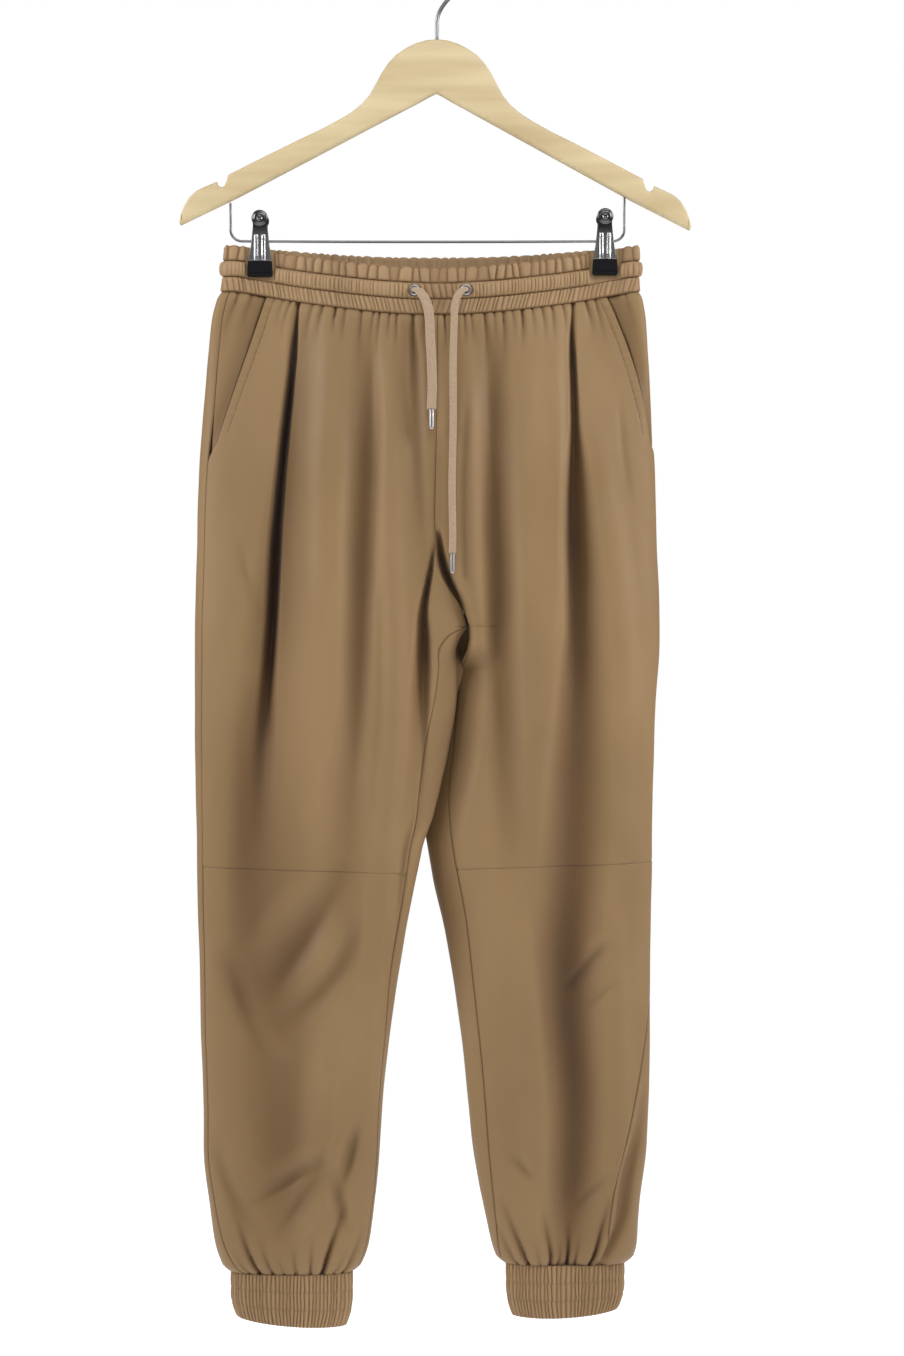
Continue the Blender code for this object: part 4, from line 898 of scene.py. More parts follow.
def make_upper_front(side):
    drop = upper_drops()
    first = step_in(side, inseam(side, drop), drop, 1)
    last = step_in(side, pocket_edge(side, drop), drop, -1)
    t = spread_columns(side, first, last, drop, PANEL_COLUMNS["upper"], TURNS[side, "front"])
    slope = knee_slope(side, t, first, last) - GAP / 2
    grid = drop[:, None] + slope * ease(drop[:, None], KNEE - KNEE_REACH, KNEE)
    made, surface, along = dress_panel(
        f"front_upper_cloth_{side}", side, t, grid, waist=waist_rows(side, "front"), inner_edge=0,
        sink=pocket_puckers(grid, t, side), last_roll=POCKET_ROLL)
    return made, make_pocket_stitching(side, surface, along, drop)


def make_lower_front(side):
    drop = fine_edges(KNEE, HEM[side] - GAP, ROW_STEPS["lower"])
    first = step_in(side, inseam(side, drop), drop, 1)
    last = step_in(side, side_seam(side, drop), drop, -1)
    t = spread_columns(side, first, last, drop, PANEL_COLUMNS["lower"])
    slope = knee_slope(side, t, first, last) + GAP / 2
    grid = drop[:, None] + slope * (1 - ease(drop[:, None], KNEE, KNEE + KNEE_REACH))
    return dress_panel(f"front_lower_cloth_{side}", side, t, grid, hem=hem_rows(side, "front"),
                       inner_edge=0)[0]


def make_back(side):
    lower = fine_edges(KNEE, HEM[side] - GAP, ROW_STEPS["back"])
    drop = np.concatenate([upper_drops()[:-EDGE_ROWS], lower[EDGE_ROWS + 1:]])
    drop = drop if len(drop) % 2 else np.delete(drop, SPARE_ROWS["back"])
    first = step_in(side, side_seam(side, drop), drop, 1)
    last = step_in(side, 2 + inseam(side, drop), drop, -1)
    t = spread_columns(side, first, last, drop, PANEL_COLUMNS["back"])
    grid = np.broadcast_to(drop[:, None], t.shape)
    return dress_panel(f"back_cloth_{side}", side, t, grid, waist=waist_rows(side, "back"),
                       hem=hem_rows(side, "back"), inner_edge=-1)[0]


def make_facing(side):
    """The hip piece behind the pocket opening, tucked a little way under the front."""
    drop = fine_edges(BAND_HEIGHT + GAP, POCKET_END - 1, ROW_STEPS["facing"])
    edge = pocket_edge(side, drop)
    first = step_in(side, edge, drop, -1, FACING_UNDERLAP)
    last = step_in(side, side_seam(side, drop), drop, -1)
    t = spread_columns(side, first, last, drop, PANEL_COLUMNS["facing"], even_out=False)
    grid = np.broadcast_to(drop[:, None], t.shape)
    along = lengths_along(cloth_point(side, t, grid, folded=False))
    beyond = along - np.array([np.interp(at, *rows) for at, *rows in zip(edge, t, along)])[:, None]
    sink = (FACING_DEPTH * (1 - ease(beyond, *FACING_EASE))
            + TUCKED_DEPTH * (1 - ease(beyond, *TUCKED_EASE)))
    # Painted shadow on the facing just beside the pocket's edge.
    shade = POCKET_PAINTED_SHADOW[0] * (1 - ease(beyond, *POCKET_PAINTED_SHADOW[1:]))
    return dress_panel(f"hip_facing_cloth_{side}", side, t, grid, waist=waist_rows(side, "front"),
                       sink=sink, shade=shade)[0]


# Pocket topstitching

STITCH_INSET = 7.0
STITCH_LENGTH = 2.4
STITCH_STEP = 3.4
STITCH_RADIUS = 0.28
STITCH_SINK = 0.12
STITCH_SIDES = 6
STITCH_ENDS = (1.5, 1.0)  # how far from a row's two ends it starts and stops
# A thread from end to end: share of its length, share of its radius.
STITCH_FORM = np.array(((0.0, 0.45), (0.16, 1.0), (0.84, 1.0), (1.0, 0.45)))
STITCH_STOP = 24.0  # how far above the opening's lower end the topstitching stops
PUCKER_STEP = 7.6
PUCKER_REACH = 11.0
PUCKER_DEPTH = 0.3
PUCKER_STOPS = (50, 26)  # how far above the opening's lower end the puckers fade
PULL_DEPTH = 0.6  # how far a thread pulls the cloth in
PULL_REACH = 1.5


def pocket_puckers(drop, t, side):
    """Small puckers between a pocket's edge and its topstitching."""
    length = lengths_along(cloth_point(side, t, drop, folded=False))
    distance = length[:, -1:] - length
    wave = np.sin(2 * math.pi * drop / PUCKER_STEP + 1.3 * np.sin(drop / 17.0))
    near = bump(distance - STITCH_INSET * 0.7, PUCKER_REACH)
    line = bump(distance - STITCH_INSET, PULL_REACH)
    beside = 1 - ease(drop, *(POCKET_END - stop for stop in PUCKER_STOPS))
    return (PUCKER_DEPTH * (1 - wave) * near + PULL_DEPTH * line) * beside


def make_pocket_stitching(side, surface, along, drop):
    """Short threads in a row beside a pocket's edge."""
    inset = along[:, -1] - STITCH_INSET
    line = np.array([along_line(*rows) for rows in zip(inset, along, surface)])
    line = line[drop < POCKET_END - STITCH_STOP]
    length = lengths_along(line)
    angle = np.linspace(0, 2 * math.pi, STITCH_SIDES, endpoint=False)
    shares, sizes = STITCH_FORM.T
    points, faces = [], []
    end = length[-1] - STITCH_LENGTH - STITCH_ENDS[1]
    for start in np.arange(STITCH_ENDS[0], end, STITCH_STEP):
        first = len(points)
        places = along_line(start + STITCH_LENGTH * shares, length, line)
        run = unit(places[-1] - places[0])
        across = unit(np.cross(run, (0, 1, 0)))
        out = np.cross(across, run)
        for place, size in zip(places, sizes):
            ring = place + (0, -STITCH_SINK, 0) + STITCH_RADIUS * size * (
                np.cos(angle)[:, None] * across + np.sin(angle)[:, None] * out)
            points += ring.tolist()
        faces += tube_faces(first, len(shares), STITCH_SIDES)
        last = len(points) - STITCH_SIDES
        faces.append([first + k for k in range(STITCH_SIDES)][::-1])
        faces.append([last + k for k in range(STITCH_SIDES)])
    made = new_piece(f"pocket_stitching_{side}", points, faces)
    shape = bmesh.new()
    shape.from_mesh(made.data)
    bmesh.ops.recalc_face_normals(shape, faces=shape.faces)
    shape.to_mesh(made.data)
    shape.free()
    return made


# Waistband and cuffs


def even_round(points, count, ring):
    """Where to cut a dense line of points into even lengths, as shares of its index."""
    length = lengths_along(points)
    stops = np.linspace(0, length[-1], count + 1)
    if ring:
        stops = stops[:-1]
    return np.interp(stops, length, np.arange(len(points))), length[-1]


def flattened(x, v, front):
    """1 where nothing presses the band, down to 0 under a clip's pad and round an eyelet."""
    free = np.ones(np.shape(x))
    for side in SIGN:
        beside = ease(np.abs(x - CLIP_X[side]), *CLIP_REACH)
        below = ease(v, *PAD_SHADE)
        free = free * np.maximum(beside, below)
        if front:
            away = np.hypot(x - EYELET_X[side], v - EYELET_DROP)
            free = free * ease(away, *EYELET_REACH)
    return free


def uneven_marks(length, spacing, unevenness, seed):
    """Places along a length, unevenly spaced, and a few random numbers for each."""
    draw = np.random.default_rng(seed)
    count = int(length / spacing) + 2
    steps = 1 + unevenness * draw.uniform(-1, 1, count)
    marks = np.concatenate([[0], steps.cumsum()])
    marks = marks / marks[-1] * length
    return marks, draw.uniform(-1, 1, (len(marks), 3))


def pillows(s, marks, sharpness):
    """0 on each mark, rising to 1 half way to the next, and which pillow each place is in."""
    k = np.clip(np.searchsorted(marks, s, side="right") - 1, 0, len(marks) - 2)
    share = np.clip((s - marks[k]) / (marks[k + 1] - marks[k]), 0, 1)
    return 1 - np.abs(2 * share - 1) ** sharpness, k


def rising(marks):
    """The same marks, with none before the last."""
    return np.maximum.accumulate(marks) + np.arange(len(marks)) * 1e-6


BACK_BAND_PAINTED_SHADE = 0.35
HEADING = 13.4
CHANNEL = 26.6
BAND_COLUMNS = {"front": 1000, "back": 620}
BAND_ROWS = 46
BAND_SEEDS = {"front": 11, "back": 23, "inside": 31}
# Spacing and unevenness of the gathers in the heading, the channel, the lower row and the
# channel's middle.
BAND_GATHERS = ((8.2, 0.42), (3.3, 0.3), (3.9, 0.4), (5.6, 0.35))
MIDDLE_REACH = (3, 10)  # how far inside the eyelets the channel's middle starts
HEADING_PUFF = 1.9
HEADING_BELLY = 0.28
HEADING_UNEVEN = 0.45
HEADING_LEAN = 2.6
CHANNEL_SWELL = 3.2
CHANNEL_PUFF = (1.25, 0.5)  # height of its gathers and how much that differs
MIDDLE_PUFF = 1.5
MIDDLE_LEAN = 0.2
LOWER_PUFF = (1.15, 0.5)
LOWER_BASE = 0.7
LOWER_LEAN = 0.3
LOWER_END = (38.6, 40)
GROOVE = (0.6, 1.8)  # depth and width of a sewn line
TOP_TURN = (1.1, 1.8)  # how deep the band's top turns in, and over what height
LOW_TURN = (0.9, 38.4)  # how deep its lower edge turns in, and from where
SCALLOP = (1.1, 0.6, 0.4)  # height of the top edge's waves, its middle, and how much they differ
SCALLOP_REACH = 8
# How steep the sides of the gathers are.
STEEPNESS = {"heading": 2.0, "channel": 1.6, "middle": 1.7, "lower": 1.7, "top": 2.2, "cuff": 1.7}


def heading_gathers(s, depth, marks, draws):
    """The heading's gathers, which lean this way and that."""
    share = min(depth / HEADING, 1)
    line = rising(marks + draws[:, 0] * HEADING_LEAN * (share - 0.5))
    high, k = pillows(s, line, STEEPNESS["heading"])
    fade = 1 - ease(depth, HEADING - 1.5, HEADING)
    belly = 1 - HEADING_BELLY + HEADING_BELLY * math.sin(math.pi * share)
    return HEADING_PUFF * (1 + HEADING_UNEVEN * draws[k, 1]) * high * fade * belly


def channel_gathers(s, depth, marks, draws, middle, between):
    """The drawcord's channel: round and finely ribbed, but flat between the eyelets."""
    high, k = pillows(s, marks, STEEPNESS["channel"])
    bulge = (CHANNEL - HEADING) / 2
    off = (depth - HEADING - bulge) / bulge
    swell = CHANNEL_SWELL * math.sqrt(max(1 - off**2, 0))
    inside = within(depth, HEADING, HEADING + 1, CHANNEL - 1, CHANNEL)
    ribs = inside * (CHANNEL_PUFF[0] + CHANNEL_PUFF[1] * draws[k, 0]) * high
    veed, _ = pillows(s, middle + MIDDLE_LEAN * (depth - BAND_HEIGHT / 2), STEEPNESS["middle"])
    return (swell + ribs) * (1 - between) + inside * MIDDLE_PUFF * veed * between


def lower_gathers(s, depth, marks, draws):
    """The gathers below the channel, which lean towards the sides."""
    slanted = marks + (depth - CHANNEL) * LOWER_LEAN * np.sign(s[-1] / 2 - marks)
    slanted = slanted + 0.5 * draws[:, 0] * (depth - 33) / 7
    high, k = pillows(s, rising(slanted), STEEPNESS["lower"])
    inside = within(depth, CHANNEL, CHANNEL + 1.6, *LOWER_END)
    return inside * ((LOWER_PUFF[0] + LOWER_PUFF[1] * draws[k, 1]) * high + LOWER_BASE)


def band_relief(s, v, x, front, seed):
    """Relief of the gathered band, with its heading, drawcord channel and lower row, and how far
    its top edge rises and falls."""
    heading, fine, lower, (middle, _) = (
        uneven_marks(s[-1], *BAND_GATHERS[k], seed + k) for k in range(4))
    relief = np.zeros(v.shape)
    scallop = np.zeros(v.shape)
    near, far = MIDDLE_REACH
    between = within(x, EYELET_X["right"] + near, EYELET_X["right"] + far,
                     EYELET_X["left"] - far, EYELET_X["left"] - near) * (1 if front else 0)
    marks, draws = heading
    high, k = pillows(s, marks - draws[:, 0] * HEADING_LEAN / 2, STEEPNESS["top"])
    waves = (high - SCALLOP[1]) * SCALLOP[0] * (1 + SCALLOP[2] * draws[k, 2])
    for row, depth in enumerate(v[:, 0]):
        relief[row] = (heading_gathers(s, depth, *heading)
                       + channel_gathers(s, depth, *fine, middle, between[row])
                       + lower_gathers(s, depth, *lower))
        for sewn in (HEADING, CHANNEL):
            relief[row] -= GROOVE[0] * bump(depth - sewn, GROOVE[1])
        relief[row] -= TOP_TURN[0] * (1 - ease(depth, 0, TOP_TURN[1]))
        relief[row] -= LOW_TURN[0] * ease(depth, LOW_TURN[1], BAND_HEIGHT)
        scallop[row] = waves * (1 - ease(depth, 0, SCALLOP_REACH))
    return relief, scallop


PRESSED = 0.1  # the share of its relief that the band keeps where it is pressed
INSIDE_RELIEF = 0.55
BAND_PAINTED_SHADE = (0.4, 4.6)


def make_band(face):
    front = face == "front"
    ends = (1 - BAND_END, 0) if front else (1 + BAND_END, 2)
    dense = np.linspace(*ends, BAND_SAMPLES)
    middle_row = np.full(BAND_SAMPLES, BAND_HEIGHT / 2)
    right = cloth_point("right", dense, middle_row, folded=False)
    left = cloth_point("left", dense[::-1], middle_row, folded=False)
    stops, length = even_round(np.concatenate([right, left]), BAND_COLUMNS[face], False)
    t = np.interp(stops, np.arange(2 * BAND_SAMPLES), np.concatenate([dense, dense[::-1]]))
    on_right = (stops < BAND_SAMPLES - 0.5)[None, :, None]
    grid_t, v = np.meshgrid(t, np.linspace(0, BAND_HEIGHT, BAND_ROWS + 1))
    points = np.where(on_right, cloth_point("right", grid_t, v, folded=False),
                      cloth_point("left", grid_t, v, folded=False))
    normal = level_normal(grid_normals(points, -1 if front else 1))
    s = np.linspace(0, length, BAND_COLUMNS[face] + 1)
    x = points[..., 0]
    free = flattened(x, v, front)
    relief, scallop = band_relief(s, v, x, front, BAND_SEEDS[face])
    outer = points + normal * (relief * (PRESSED + (1 - PRESSED) * free))[..., None]
    inside, _ = band_relief(s, v, x, False, BAND_SEEDS["inside"])
    inner = points - normal * (BAND_WALL + INSIDE_RELIEF * inside * free)[..., None]
    for grid in (outer, inner):
        grid[..., 2] += scallop * free
    # Painted shade: the band is darker where its relief is low, between gathers and in sewn
    # grooves, less on the back and none under a pad.
    hollow = (BAND_PAINTED_SHADE[0] - relief / BAND_PAINTED_SHADE[1]) * free * (1 if front else BACK_BAND_PAINTED_SHADE)
    return shell(f"waistband_{face}_cloth", outer, inner, hollow, skip=2 if front else 1)


def cuff_section(side, share, angle):
    """A ring of a cuff: its points and the directions out of it."""
    middle, half_width, half_depth = CUFFS[side][:3]
    cos, sin = np.cos(angle), np.sin(angle)
    power = 2 / ROUNDNESS
    x = middle + half_width * share * np.sign(cos) * np.abs(cos) ** power
    y = half_depth * (0.5 + 0.5 * share) * np.sign(sin) * np.abs(sin) ** power
    return np.stack([x, y], axis=-1)


CUFF_SHARES = ((0, 1.0), (14, 1.0), (28, 0.985), (42, 0.9))
CUFF_COLUMNS = 480
CUFF_ROWS = 48
CUFF_SAMPLES = 2880
CUFF_COURSE = 14.0  # height of a row of gathers
CUFF_GATHERS = (3.45, 0.3)
CUFF_PUFF = (1.2, 0.35)
CUFF_SWELL = 0.4
CUFF_SET_IN = 0.6
CUFF_LEAN = 0.6
CUFF_BELLY = (0.4, 0.3)  # how much lower a row's gathers are at its ends, and how suddenly
CUFF_EDGE = 4.0
CUFF_SCALLOP = 0.5
CUFF_PAINTED_SHADE = (0.55, 2)
CUFF_SEED = {"right": 34, "left": 48}
CUFF_SEAM_HALF = 4.5


def make_cuff(side):
    middle, half_width, _, sag, tilt = CUFFS[side]
    dense = cuff_section(side, 1.0, np.linspace(0, 2 * math.pi, CUFF_SAMPLES + 1))
    stops, length = even_round(dense, CUFF_COLUMNS, True)
    angle = stops / CUFF_SAMPLES * 2 * math.pi
    s = np.arange(CUFF_COLUMNS) / CUFF_COLUMNS * length
    top = WAIST_Z - HEM[side] - GAP
    seam = 0 if side == "right" else length / 2
    from_seam = np.abs((s - seam + length / 2) % length - length / 2)
    ribbed = ease(from_seam, CUFF_SEAM_HALF - 1, CUFF_SEAM_HALF + 1)
    outer, inner, hollow = [], [], []
    marks, draws = uneven_marks(length, *CUFF_GATHERS, CUFF_SEED[side])
    for depth in np.linspace(0, CUFF_HEIGHT, CUFF_ROWS + 1):
        ring = cuff_section(side, float(smooth(CUFF_SHARES, 1, np.array(depth))), angle)
        along = np.roll(ring, -1, axis=0) - np.roll(ring, 1, axis=0)
        normal = unit(np.stack([along[:, 1], -along[:, 0]], axis=-1))
        course = min(int(depth / CUFF_COURSE), 2)
        share = depth / CUFF_COURSE - course
        line = rising(marks + draws[:, course] * CUFF_LEAN * (2 * share - 1))
        high, k = pillows(s, line, STEEPNESS["cuff"])
        belly = math.sin(math.pi * min(max(share, 0), 1)) ** CUFF_BELLY[1]
        in_course = 1 - CUFF_BELLY[0] + CUFF_BELLY[0] * belly
        ribs = high * (CUFF_PUFF[0] + CUFF_PUFF[1] * draws[k, 1]) * in_course * ribbed
        across = (ring[:, 0] - middle) / half_width
        hang = depth / CUFF_HEIGHT * (sag * (1 - across**2) + tilt * across / 2)
        low = ease(depth, CUFF_HEIGHT - CUFF_EDGE, CUFF_HEIGHT)
        z = (top - depth - hang + CUFF_SCALLOP * low * high)[:, None]
        lift = CUFF_SWELL * in_course - CUFF_SET_IN + ribs
        outer.append(np.hstack([ring + normal * lift[:, None], z]))
        inner.append(np.hstack([ring - normal * CUFF_WALL, z]))
        # Painted shade: the cuff is darker between its gathers.
        hollow.append(CUFF_PAINTED_SHADE[0] - ribs / CUFF_PAINTED_SHADE[1])
    return shell(f"cuff_cloth_{side}", np.array(outer), np.array(inner), np.array(hollow),
                 ring=True)


# Drawcords


CORD_SIDES = 40
CORD_STEP = 1.2
CORD_SQUARENESS = 0.75
CORD_SPREAD = (2, 14)  # lengths over which a cord flattens out from its eyelet
CORD_BUNCHED = (0.7, 1.25)  # its shares of width and thickness in the eyelet
CORD_SWAY = {"right": 2.0, "left": 0.5}
SWAY_SIZE = 0.35
SWAY_FADE = (20, 50)
PLAIT_HEIGHT = 0.12
PLAIT_TURNS = (9, 2.6)  # across the braid and along it


def smooth_route(points, count):
    """Evenly spaced points of a smooth curve through a route, and its length."""
    route = np.array(points, float)
    legs = np.linalg.norm(np.diff(route, axis=0), axis=-1) ** 0.5
    knots = np.concatenate([[0], legs.cumsum()])
    table = np.column_stack([knots, route])
    dense = np.linspace(0, knots[-1], 600)
    curve = np.stack([smooth(table, column, dense) for column in (1, 2, 3)], axis=-1)
    length = lengths_along(curve)
    return along_line(np.linspace(0, length[-1], count), length, curve), length[-1]


def make_cord(side, braid, steel):
    """A flat braid that leaves its eyelet, turns down and hangs."""
    _, length = smooth_route(CORD_ROUTES[side], 2)
    count = int(length / CORD_STEP)
    route, length = smooth_route(CORD_ROUTES[side], count)
    tangent = unit(np.gradient(route, axis=0))
    wide = unit(np.array([1.0, 0, 0]) - tangent * tangent[:, :1])
    out = np.cross(wide, tangent)
    at = np.linspace(0, length, count)
    spread = ease(at, *CORD_SPREAD)
    half = CORD_WIDTH[side] / 2 * (CORD_BUNCHED[0] + (1 - CORD_BUNCHED[0]) * spread)
    thick = CORD_THICKNESS / 2 * (CORD_BUNCHED[1] + (1 - CORD_BUNCHED[1]) * spread)
    angle = np.linspace(0, 2 * math.pi, CORD_SIDES, endpoint=False)
    across, through = (np.sign(value) * np.abs(value) ** CORD_SQUARENESS
                       for value in (np.cos(angle), np.sin(angle)))
    weft, warp = across[None, :] * PLAIT_TURNS[0], at[:, None] * PLAIT_TURNS[1]
    plait = PLAIT_HEIGHT * np.sin(weft + warp) * np.sin(weft - warp)
    sway = SWAY_SIZE * np.sin(at / 17.0 + CORD_SWAY[side]) * within(
        at, *SWAY_FADE, length - SWAY_FADE[0], length)
    rings = (route[:, None] + wide[:, None] * (half[:, None] * across[None, :])[..., None]
             + out[:, None] * ((thick[:, None] + plait) * through[None, :])[..., None])
    rings[..., 0] += sway[:, None]
    path = route.copy()
    path[:, 0] += sway
    points = np.concatenate([rings.reshape(-1, 3), route[[0, -1]]])
    ends = count * CORD_SIDES
    faces = tube_faces(0, count, CORD_SIDES)
    for column in range(CORD_SIDES):
        after = (column + 1) % CORD_SIDES
        last = ends - CORD_SIDES
        faces += [[ends, after, column], [ends + 1, last + column, last + after]]
    made = new_piece(f"drawcord_braid_{side}", points, faces)
    if sum(points[a] @ np.cross(points[b], points[c]) for a, b, c, *_ in faces) < 0:
        made.data.flip_normals()
    finish_piece(made, "cord", braid, f"drawcord_{side}")
    tip = finish_piece(make_tip(side), "trim_metal", steel, f"cord_tip_{side}")
    lengths_along(path)[-1] * MM


# Hard pieces

HANGER_TILT = math.radians(0.58)
WOOD_THICKNESS = 12.0
WOOD_START = 0.5  # half width of the arm's first block
WOOD_ROUNDING = 2.2
# Half of the wooden arm, from its middle to its tip: x, z of the upper edge.
WOOD_TOP = (
    (0, -68.0), (9, -68.9), (18, -71.6), (26.5, -75.8), (35, -81.6), (41.7, -88.8), (47.6, -97.6),
    (53, -107.9), (57.8, -116.6), (64.3, -124.4), (73.5, -132), (85, -139), (100, -147.2),
    (117.5, -155.6), (146.8, -170.3), (165, -179.7), (179.6, -187.3), (180.6, -191.5),
    (182.4, -196.4), (185.2, -198.2), (188.2, -196.6), (189.3, -193.2), (198, -197),
    (206.6, -201.1), (212.5, -206.4), (217, -213.6), (219.6, -219.8), (221.4, -225.4),
)
# The same for its lower edge.
WOOD_UNDERSIDE = (
    (0, -114), (6, -117), (14, -121.6), (60, -146.3), (118, -177.6), (171.5, -206.3),
    (198, -219.4), (221.4, -231.0),
)
ROTATE_WAY = -1  # without a window Blender's rotate operator turns the other way
WELD = 0.02
WIRE_RADIUS = 1.7
WIRE_SIDES = 20
HOOK_RADIUS = 22.0
HOOK_STEM = ((0.0, -67.7), (0.0, -58.0), (0.2, -50.0), (2.6, -42.6), (8.7, -33.8), (16.0, -26.8))
HOOK_ANGLES = range(5, 206, 20)
BAR_RADIUS = 1.1
BAR_X = (-179.0, 162.4)
BAR_Z = -242.4
BAR_SAG = 0.5
BAR_CORNER = 10.0
BAR_CLEARANCE = 0.9  # from its ends to the wood's lower edge
BAR_HOLE = 1.5  # radius of the hole in a clip's ears
BAR_HOLE_DROP = 0.3  # how far below the bar's ends it is, since the bar sags
BAR_HOLE_REACH = 12.0

# A clip's leaf from its finger disc to its jaw: z, distance from the middle, half width.
LEAF = (
    (-226.6, 9.2, 6.1), (-229.0, 8.7, 5.9), (-232.0, 8.2, 6.1), (-236.5, 7.7, 6.6),
    (-241.0, 7.2, 7.1), (-245.5, 6.9, 7.6), (-250.0, 6.6, 8.3), (-255.0, 6.4, 9.2),
    (-260.0, 6.2, 10.1),
)
LEAF_THICKNESS = 1.0
LEAF_START = 0.4
LEAF_ROUNDING = 0.32
DISC_Z = -223.6
# The finger disc from its back to the hollow in its middle: radius, distance outwards.
DISC_PROFILE = (
    (0.01, 0.0), (6.0, 0.0), (6.9, 0.4), (7.1, 1.1), (6.8, 1.8), (6.1, 2.2), (5.3, 2.35),
    (4.6, 2.9), (3.7, 3.2), (2.7, 3.2), (2.1, 2.8), (1.5, 2.2), (0.01, 2.0),
)
DISC_DEPTH = 8.6
RIBS = ((-4.9, -1.5), (1.5, 4.9))  # how far each rib's two sides are from a clip's middle
RIB_TOP = -238.0
RIB_HEIGHT = 1.1
RIB_TAPER = 0.45
EAR_Z = (-236.0, -247.4)
EAR_X = 6.0
EAR_REACH = 7.0
EAR_HALF = 0.5
EAR_ROUNDING = 0.3
PAD_Z = (-260.3, -274.2)
PAD_HALF_WIDTHS = (10.4, 11.2)
PAD_Y = (3.3, 7.4)
PAD_GROOVE = (-270.2, -271.2)
PAD_GROOVE_DEPTH = 0.35
PAD_CORNER = 2.6
PAD_ROUNDING = 0.6

EYELETS = {"right": (-19.2, -27.8, -288.0), "left": (25.3, -27.7, -287.8)}
# A rolled eyelet round its hole: radius, distance outwards.
EYELET_PROFILE = (
    (2.5, -0.5), (2.5, 0.2), (2.8, 0.8), (3.5, 1.1), (4.3, 0.9), (4.9, 0.3), (5.0, -0.4),
    (3.8, -0.6), (2.5, -0.5),
)
# A cord's tip from its upper end: radius, distance down.
TIP_PROFILE = (
    (0.01, 0.0), (1.9, 0.0), (2.25, 0.35), (2.3, 1.2), (2.2, 2.0), (2.24, 3.0), (2.2, 14.4),
    (2.14, 15.8), (1.9, 16.7), (1.5, 17.0), (0.01, 17.0),
)


def at(place):
    return [value * MM for value in place]


def start_shape(name):
    """Names the primitive that was just added and opens it for editing."""
    made = bpy.context.object
    made.name = made.data.name = name
    bpy.ops.object.transform_apply(location=True, rotation=True, scale=True)
    bpy.ops.object.mode_set(mode="EDIT")
    return made


def pick(made, kind, wanted):
    """Selects the edges or faces that are wanted."""
    modes = {"edges": "EDGE", "faces": "FACE"}
    bpy.ops.mesh.select_mode(type=modes[kind])
    bpy.ops.mesh.select_all(action="DESELECT")
    shape = bmesh.from_edit_mesh(made.data)
    for part in getattr(shape, kind):
        if wanted(part):
            part.select_set(True)
    shape.select_flush_mode()
    bmesh.update_edit_mesh(made.data)


def draw_out(step, size, centre, edges=False):
    """Extrudes what is selected by a step and then sizes it about a centre."""
    move = {"value": at(step)}
    if edges:
        bpy.ops.mesh.extrude_edges_move(TRANSFORM_OT_translate=move)
    else:
        bpy.ops.mesh.extrude_region_move(TRANSFORM_OT_translate=move)
    bpy.ops.transform.resize(value=size, center_override=at(centre))


def add_cube(name, low, high):
    bpy.ops.object.select_all(action="DESELECT")
    middle = [(a + b) / 2 for a, b in zip(low, high)]
    bpy.ops.mesh.primitive_cube_add(size=1, location=at(middle),
                                    scale=at([b - a for a, b in zip(low, high)]))
    return start_shape(name)


def close_shape(made, smooth_angle=40):
    """Closes doubled points, turns all faces outwards and leaves editing."""
    bpy.ops.mesh.select_mode(type="VERT")
    bpy.ops.mesh.select_all(action="SELECT")
    bpy.ops.mesh.remove_doubles(threshold=WELD * MM)
    bpy.ops.mesh.normals_make_consistent(inside=False)
    bpy.ops.object.mode_set(mode="OBJECT")
    bpy.ops.object.shade_smooth_by_angle(angle=math.radians(smooth_angle))
    return made


def bevel_all(made, width, segments, angle=30):
    rounding = made.modifiers.new("rounding", "BEVEL")
    rounding.width = width * MM
    rounding.segments = segments
    rounding.angle_limit = math.radians(angle)
    bpy.ops.object.modifier_apply(modifier=rounding.name)


def turned(name, centre, profile, sides, axis):
    """A round shape that grows from its centre along an axis."""
    way = np.array(axis, float)
    bpy.ops.object.select_all(action="DESELECT")
    radius, out = profile[0]
    turn = (math.pi / 2, 0, 0) if axis[1] else (0, 0, 0)
    place = np.array(centre) + way * out
    bpy.ops.mesh.primitive_circle_add(vertices=sides, radius=radius * MM, fill_type="NOTHING",
                                      location=at(place), rotation=turn)
    made = start_shape(name)
    bpy.ops.mesh.select_all(action="SELECT")
    for after, further in profile[1:]:
        ratio = after / radius
        size = [1 if part else ratio for part in axis]
        place = np.array(centre) + way * further
        draw_out(way * (further - out), size, place, edges=True)
        radius, out = after, further
    return close_shape(made)


def drawn_wire(name, route, radius, sides):
    """A round wire drawn along a route in the XZ plane, with rounded ends."""
    route = np.array(route, float)
    steps = np.diff(route, axis=0)
    headings = np.arctan2(steps[:, 0], steps[:, 1])
    turns = [0.0, *((np.diff(headings) + math.pi) % (2 * math.pi) - math.pi), 0.0]
    bpy.ops.object.select_all(action="DESELECT")
    bpy.ops.mesh.primitive_circle_add(
        vertices=sides, radius=radius * MM, fill_type="NGON",
        location=at((route[0, 0], 0, route[0, 1])), rotation=(0, headings[0], 0))
    made = start_shape(name)
    bpy.ops.mesh.select_all(action="SELECT")
    for k, step in enumerate(steps):
        bpy.ops.mesh.extrude_region_move(
            TRANSFORM_OT_translate={"value": at((step[0], 0, step[1]))})
        bpy.ops.transform.rotate(value=ROTATE_WAY * (turns[k] + turns[k + 1]) / 2, orient_axis="Y",
                                 center_override=at((route[k + 1, 0], 0, route[k + 1, 1])))
    close_shape(made)
    bevel_all(made, radius * 0.5, 3, 60)
    bpy.ops.object.shade_smooth_by_angle(angle=math.radians(60))
    return made


def edge_z(table, x):
    return float(np.interp(x, [row[0] for row in table], [row[1] for row in table]))


